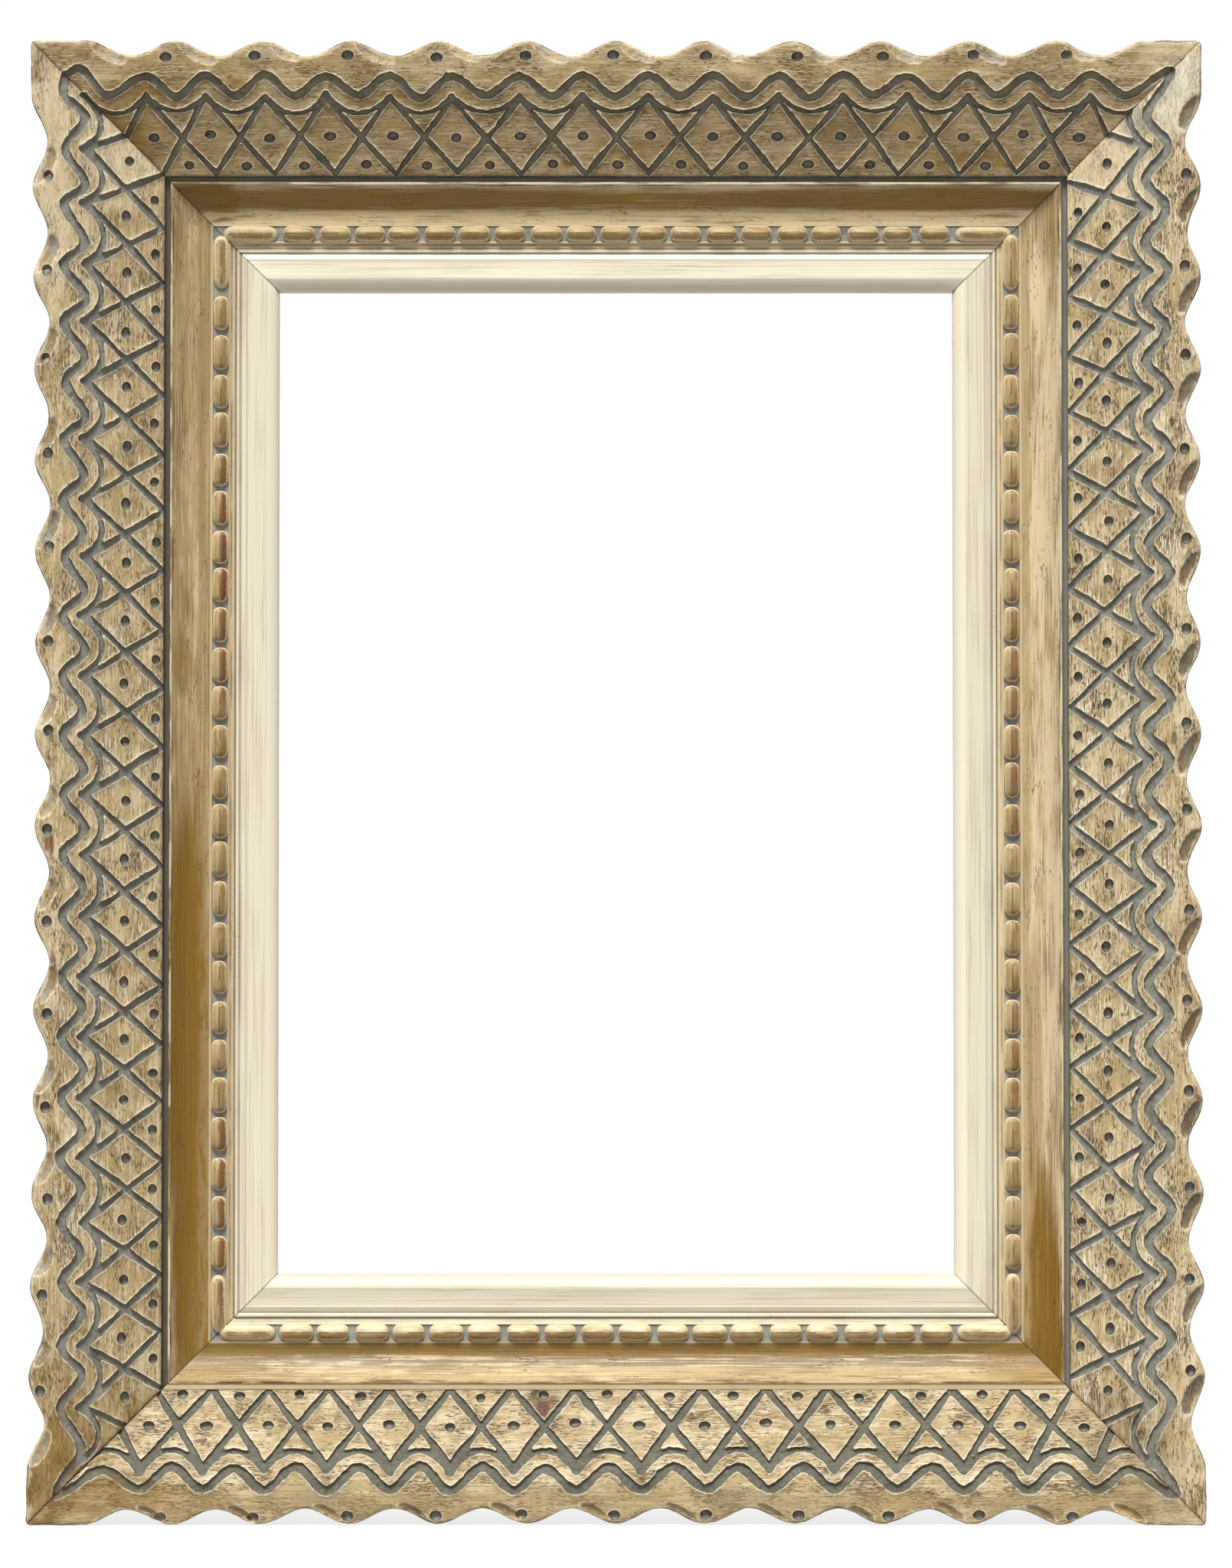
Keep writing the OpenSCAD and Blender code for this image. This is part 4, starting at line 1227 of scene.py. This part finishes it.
def cove_finish(side):
    """The cove and the beads' bed: streaked paint and ochre size with some painted light and shade,
    grey between the beads.
    """
    lip_tone, middle_tone, foot_tone, lip_end, foot = COVE_TONES[side]
    wood = Finish("old_cove_" + side, side, lip_tone)
    cloud = wood.grain(46, 8, 21, 4)
    strokes = wood.grain(70, 1.1, 22, 4)
    hair = wood.grain(26, 0.42, 23, 3)
    grit = wood.grain(1.2, 0.9, 24, 3)
    cluster = wood.grain(22, 6, 25, 3)
    smudge = wood.grain(14, 3, 29, 4)
    down = wood.u + 5 * (cloud - 0.5) + 2.5 * (strokes - 0.5)
    wood.coat(middle_tone, wood.band(down, lip_end, lip_end + 3))
    wood.coat(foot_tone, wood.band(down, foot, foot + 3))
    wood.coat(FAWN, wood.band(cloud + 0.9 * (strokes - 0.5), 0.48, 0.60) * 0.6)
    wood.coat(CREAM, wood.band(strokes + 0.5 * (smudge - 0.5), 0.53, 0.63) * 0.6)
    wood.coat(UMBER, wood.band(hair + 0.5 * (cloud - 0.5), 0.54, 0.66) * 0.6)
    for x, u, reach_x, reach_u, strength in COVE_POOLS[side]:
        pool = wood.patch(x, u, reach_x, reach_u, 0.3, 0.4) * (0.45 + 1.2 * strokes)
        wood.coat(OCHRE, pool * strength)
        wood.coat(OLIVE, pool * wood.band(hair, 0.45, 0.65) * (0.5 * strength))
    # The foot's tone again in rubbed streaks: wear, and painted highlight on the top cove
    rubbed = wood.band(down, foot + 1, foot + 4) * wood.band(smudge, 0.36, 0.56)
    wood.coat(foot_tone, rubbed * 0.6)
    fleck = wood.band(wood.grain(3.2, 0.6, 26) + 0.6 * (cluster - 0.5), 0.66, 0.74)
    wood.coat(UMBER, fleck * 0.8)
    fillet_tone, left_on = FILLET_TONES[side]
    fillet = wood.band(wood.u, FILLET_U - 0.6, FILLET_U - 0.1) * (0.7 + 0.6 * smudge)
    wood.coat(fillet_tone, fillet * left_on)

    # The straight groove is filled with grey, darker with painted shade on the left, and the lip
    # beside it is rubbed through
    groove_paint = wood.mix(*COVE_GROOVE[side], cluster)
    wood.coat(groove_paint, wood.band(wood.u, LIP_U + 0.35, LIP_U + 0.05))
    if side == FILLED:
        still_open = wood.patch(-177, LIP_U + 0.6, 30, 0.5, 0.3, 0.3)
        wood.coat(CRACK, still_open * 0.8)
    lip = wood.strip(wood.u, LIP_U, (-0.1, 0.3), (0.8, 1.5))
    wood.coat(CREAM, lip * wood.band(smudge, 0.48, 0.58) * 0.8)
    wood.coat(UMBER, lip * wood.band(smudge, 0.46, 0.36) * 0.6)
    bare_line = wood.strip(wood.u, COVE_START, (-0.5, -0.2), (0.2, 0.7))
    broken = wood.band(wood.grain(30, 4, 27, 4), 0.50, 0.60)
    wood.coat(RUSSET, bare_line * broken * 0.8)

    # The beads' bed
    in_bed = wood.strip(wood.u, BEAD_U, (0.05, 0.45), (BEAD_W - 0.8, BEAD_W - 0.3))
    bed_tone = wood.mix(GREY, CHALK, wood.band(wood.grain(5, 3, 28, 3), 0.5, 0.7) * 0.7)
    bed_tone = wood.mix(bed_tone, SLATE, wood.band(cluster + 0.5 * (grit - 0.5), 0.5, 0.7) * 0.5)
    wood.coat(bed_tone, in_bed)
    outer_line = wood.strip(wood.u, BEAD_U, (-1.3, -0.5), (0, 0.3))
    wood.coat(CREAM, outer_line * 0.6)
    inner_line = wood.strip(wood.u, FILLET_U, (-0.6, -0.2), (0.3, 0.7))
    wood.coat(CREAM, inner_line * 0.55)
    # A dark line at the fillet's foot: dirt and painted shade, faint on the bottom, which faces the
    # light
    foot_line = wood.strip(wood.u, FILLET_U, (0.5, 0.8), (1.1, 1.5))
    dirt_and_shade = 0.15 if side == FILLED else 0.7
    wood.coat(UMBER, foot_line * wood.band(cluster, 0.35, 0.55) * dirt_and_shade)

    wood.coat(BARE, wood.band(wood.h, LAP_H + 1.0, LAP_H + 0.1))
    seam = wood.from_mitre() + 0.5 * (grit - 0.5)
    wood.coat(CRACK, wood.band(seam, 0.6, 0.15) * 0.9)
    roughness = 0.40 + 0.2 * cloud + 0.15 * in_bed
    relief = 0.14 * strokes + 0.07 * hair - 0.12 * fleck + 0.06 * grit
    return wood.finish(roughness, relief)


# Colours of a bead toward the rim and toward the sight on each side: painted light and shade, darker
# on the half turned from the light, paler on the half that faces it
BEAD_LIGHT_AND_SHADE = {"top": (TAN, FAWN), "bottom": (TAN, CREAM), "left": (TAN, FAWN),
              "right": (TAN, TAN)}
# Where beads are rubbed through to the wood: along the side, reach and strength
BEAD_LOSSES = {
    "top": (), "bottom": ((-30, 40, 0.3),),
    "left": ((-110, 66, 0.9), (215, 50, 0.8)), "right": ((30, 60, 0.6), (-130, 30, 0.5))}


def bead_finish(side):
    """Beads: tan and cream, with painted light and shade across them, ochre and bare wood on the flank
    turned from the light, grey at their feet.
    """
    outer, inner = BEAD_LIGHT_AND_SHADE[side]
    wood = Finish("old_beads_" + side, side, outer)
    cloud = wood.grain(17, 9, 31, 3)
    hair = wood.grain(7, 0.5, 32, 4)
    grit = wood.grain(1.1, 0.8, 33, 3)
    middle = BEAD_U + BEAD_W / 2
    wood.coat(inner, wood.band(wood.u + (cloud - 0.5), middle - 1, middle + 0.8))
    wood.coat(UMBER, wood.band(hair + 0.5 * (cloud - 0.5), 0.5, 0.72) * 0.55)
    wood.coat(OCHRE, wood.band(wood.grain(19, 6, 34, 3), 0.52, 0.66) * 0.45)
    # The flank turned from the light: its ochre is painted shade, its bare wood real losses
    flank = wood.band(wood.u, middle + 0.2, middle + 0.9)
    if side in ("bottom", "right"):
        flank = 1 - flank
    for x, reach, strength in BEAD_LOSSES[side]:
        lost = wood.patch(x, middle, reach, 30, 0.2, 0.3)
        wood.coat(RUSSET, lost * flank * strength)
    aside = abs(wood.u + 0.4 * (hair - 0.5) - middle)
    ridge = wood.band(aside, 0.55, 0.2) * wood.band(wood.grain(9, 4, 35, 3), 0.40, 0.52)
    wood.coat(UMBER, ridge * 0.8)
    wood.coat(OCHRE, flank * wood.band(cloud, 0.4, 0.6) * 0.45)
    ring = wood.band(wood.h + 1.6 * (grit - 0.5), FLOOR_H + 2.3, FLOOR_H + 1.5)
    wood.coat(CREAM, ring * 0.85)
    foot = wood.band(wood.h + 0.8 * (grit - 0.5), FLOOR_H + 0.5, FLOOR_H - 0.2)
    wood.coat(GREY, foot * 0.75)
    wood.coat(UMBER, wood.band(grit + 0.4 * (cloud - 0.5), 0.68, 0.76) * 0.7)
    roughness = 0.38 + 0.2 * cloud
    return wood.finish(roughness, 0.12 * hair + 0.10 * grit)


# The side whose bevel faces the light: its bevel is painted a little deeper against the light, and its
# slope carries a painted highlight
LIT = "bottom"


def liner_finish(side):
    """Ivory paint drawn along the liner, with dust and painted shade in its quirks, painted
    highlights, and dark mitres.
    """
    wood = Finish("ivory_liner_" + side, side, IVORY)
    cloud = wood.grain(60, 12, 41, 3)
    strokes = wood.grain(90, 0.8, 42, 4)
    hair = wood.grain(34, 0.35, 43, 3)
    grit = wood.grain(1.0, 0.8, 44, 3)
    wood.coat(BONE, wood.band(strokes + 0.5 * (cloud - 0.5), 0.48, 0.62) * 0.7)
    wood.coat(DUST, wood.band(hair + 0.5 * (cloud - 0.5), 0.58, 0.72) * 0.5)
    facing_light = side == LIT
    # Dust and painted shade in the quirk, half as dark on the side that faces the light
    quirk = wood.strip(wood.u, LINER_U, (1.7, 2.2), (2.6, 3.2))
    wood.coat(UMBER, quirk * (0.25 + 0.6 * cloud) * (0.5 if facing_light else 1.0))
    wood.coat(DUST, wood.band(wood.u, LINER_U + 0.9, LINER_U + 0.2) * 0.8)
    wood.coat(DUST, wood.strip(wood.u, LINER_U, (5.0, 5.4), (5.9, 6.3)) * 0.45)
    speck = wood.band(grit + 0.5 * (cloud - 0.5), 0.66, 0.74)
    wood.coat(GREY, speck * wood.band(wood.u, LINER_U + 5, LINER_U + 1) * 0.8)
    # A painted highlight in pearl: on the slope of the side that faces the light and on the bevel of
    # the others; that side's bevel is painted deeper instead, against the light
    bevel = wood.band(wood.u, IN_SIGHT - BEVEL_W + 0.1, IN_SIGHT - BEVEL_W + 1.1)
    slope = wood.strip(wood.u, LINER_U, (3.0, 3.5), (5.6, 6.8))
    wood.coat(PEARL, (slope if facing_light else bevel) * (0.5 + 0.8 * strokes))
    if facing_light:
        wood.coat(SHELL, bevel * 0.9)
    back = wood.band(wood.h, LAP_H - 0.1, LAP_H - 0.9)
    wood.coat(BARE, back * wood.band(wood.u, IN_SIGHT - 0.2, IN_SIGHT - 0.6))
    seam = wood.from_mitre() + 0.5 * (grit - 0.5)
    wood.coat(UMBER, wood.band(seam, 0.55, 0.1) * 0.85)
    roughness = 0.28 + 0.16 * cloud + 0.08 * strokes
    return wood.finish(roughness, 0.09 * strokes + 0.05 * hair + 0.04 * grit)


def wood_finish(name, along):
    """Bare wood of the hidden pieces."""
    wood = Finish(name, "bottom", BARE)
    rings = wood.grain(*along, 51, 3)
    wood.coat(OLD_BARE, wood.band(rings, 0.4, 0.65))
    return wood.finish(0.6 + 0.2 * rings, 0.1 * rings)


def metal_finish(name, clean, dull, dullness):
    """Old metal, partly tarnished."""
    metal = Finish(name, "bottom", clean)
    cloud = metal.grain(6, 6, 61, 4)
    fine = metal.grain(0.8, 0.8, 62, 3)
    tarnish = metal.band(cloud + 0.4 * (fine - 0.5), dullness, dullness + 0.2)
    metal.feed("Metallic", 1 - 0.8 * tarnish)
    metal.coat(dull, tarnish)
    return metal.finish(0.32 + 0.35 * tarnish, 0.04 * fine + 0.05 * cloud)


def dress(piece, finish):
    """Gives a piece its finish in every material slot it has."""
    if not piece.data.materials:
        piece.data.materials.append(finish)
    for slot in piece.material_slots:
        slot.material = finish


# Stage

# The camera looks at the sight's plane from so far away, at a point a little off the middle
SIGHT_PLANE_Y = -SIGHT_EDGE_H * MM
CAMERA_AWAY = 3.0
CAMERA_RISE = -1.2 * MM
LOOKING_UP = math.radians(2.07)
PIXEL = 0.3889 * MM      # what one pixel of the photograph spans on the sight's plane
FILM_W = 36.0
PHOTO_HIGH = 2048
# The key light's direction, strength and spread, and the room's own light
KEY = Vector((-0.08, -0.45, 0.75))
KEY_ENERGY = 4.2
KEY_SOFTNESS = 0.4
AMBIENT = 0.24
FLOOR_TONE = 0.30
FLOOR_GLOW = 0.80
FLOOR_W = 5.0
FLOOR_FRONT = 3.0        # how far it runs before the frame, and behind it
FLOOR_REACH = 1.3


def studio_floor():
    """A pale floor under the frame. It shows white, and keeps the shadow."""
    bpy.ops.object.select_all(action="DESELECT")
    bpy.ops.mesh.primitive_grid_add(x_subdivisions=8, y_subdivisions=8, size=1)
    floor = bpy.context.object
    floor.name = floor.data.name = "studio_floor"
    floor.scale = (FLOOR_W, FLOOR_FRONT + FLOOR_REACH, 1)
    floor.location = (0, (FLOOR_REACH - FLOOR_FRONT) / 2, cad_low.z)
    bpy.ops.object.transform_apply(location=True, rotation=True, scale=True)
    plain = bpy.data.materials.new("floor_paper")
    paper = Shading(plain, "Principled BSDF")
    paper.feed("Base Color", (FLOOR_TONE, FLOOR_TONE, FLOOR_TONE, 1))
    paper.feed("Roughness", 0.9)
    paper.feed("Specular IOR Level", 0.0)
    paper.feed("Emission Strength", 1.0)
    paper.feed("Emission Color", paper.seen_directly() * FLOOR_GLOW)
    floor.data.materials.append(plain)


def studio_light():
    """One soft key from above, a little to the left, and an even room."""
    lamp = bpy.data.lights.new("key", "SUN")
    lamp.energy = KEY_ENERGY
    lamp.angle = KEY_SOFTNESS
    key = bpy.data.objects.new("key", lamp)
    key.rotation_euler = KEY.to_track_quat("Z", "Y").to_euler()
    key.location = KEY * 3
    bpy.context.scene.collection.objects.link(key)
    room = bpy.data.worlds.new("room")
    bpy.context.scene.world = room
    sky = Shading(room, "Background")
    sky.feed("Color", (1, 1, 1, 1))
    sky.feed("Strength", AMBIENT + (1 - AMBIENT) * sky.seen_directly())


def camera():
    """In front of the frame, a little below its middle and looking slightly up at it."""
    lens = bpy.data.cameras.new("camera")
    lens.sensor_width = FILM_W
    lens.lens = FILM_W * CAMERA_AWAY / (PHOTO_HIGH * PIXEL)
    seen = bpy.data.objects.new("camera", lens)
    back = CAMERA_AWAY * math.cos(LOOKING_UP)
    down = CAMERA_AWAY * math.sin(LOOKING_UP)
    seen.location = (0.0, SIGHT_PLANE_Y - back, CAMERA_RISE - down)
    seen.rotation_euler = (math.radians(90) + LOOKING_UP, 0, 0)
    bpy.context.scene.collection.objects.link(seen)
    bpy.context.scene.camera = seen


# Putting it together

for side in SIDES:
    dress(carved_rail(side), carved_finish(side))
    dress(cove_moulding(side), cove_finish(side))
    dress(bead_row(side), bead_finish(side))
    dress(liner_rail(side), liner_finish(side))

plain_wood = wood_finish("tongue_wood", (30, 2))
iron = metal_finish("old_iron", IRON, OLD_BARE, 0.45)
brass = metal_finish("old_brass", BRASS, OLIVE, 0.5)
steel = metal_finish("ring_steel", GREY, UMBER, 0.6)
for name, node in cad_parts.items():
    if name.startswith("mitre_tongue"):
        dress(node, plain_wood)
    elif name.startswith("hanger_ring"):
        dress(node, steel)
    elif name.startswith("hanger"):
        dress(node, brass)
    elif name in ("corner_nails", "moulding_pins", "liner_points"):
        dress(node, iron)

studio_floor()
studio_light()
camera()
bpy.context.scene.view_settings.view_transform = "Standard"
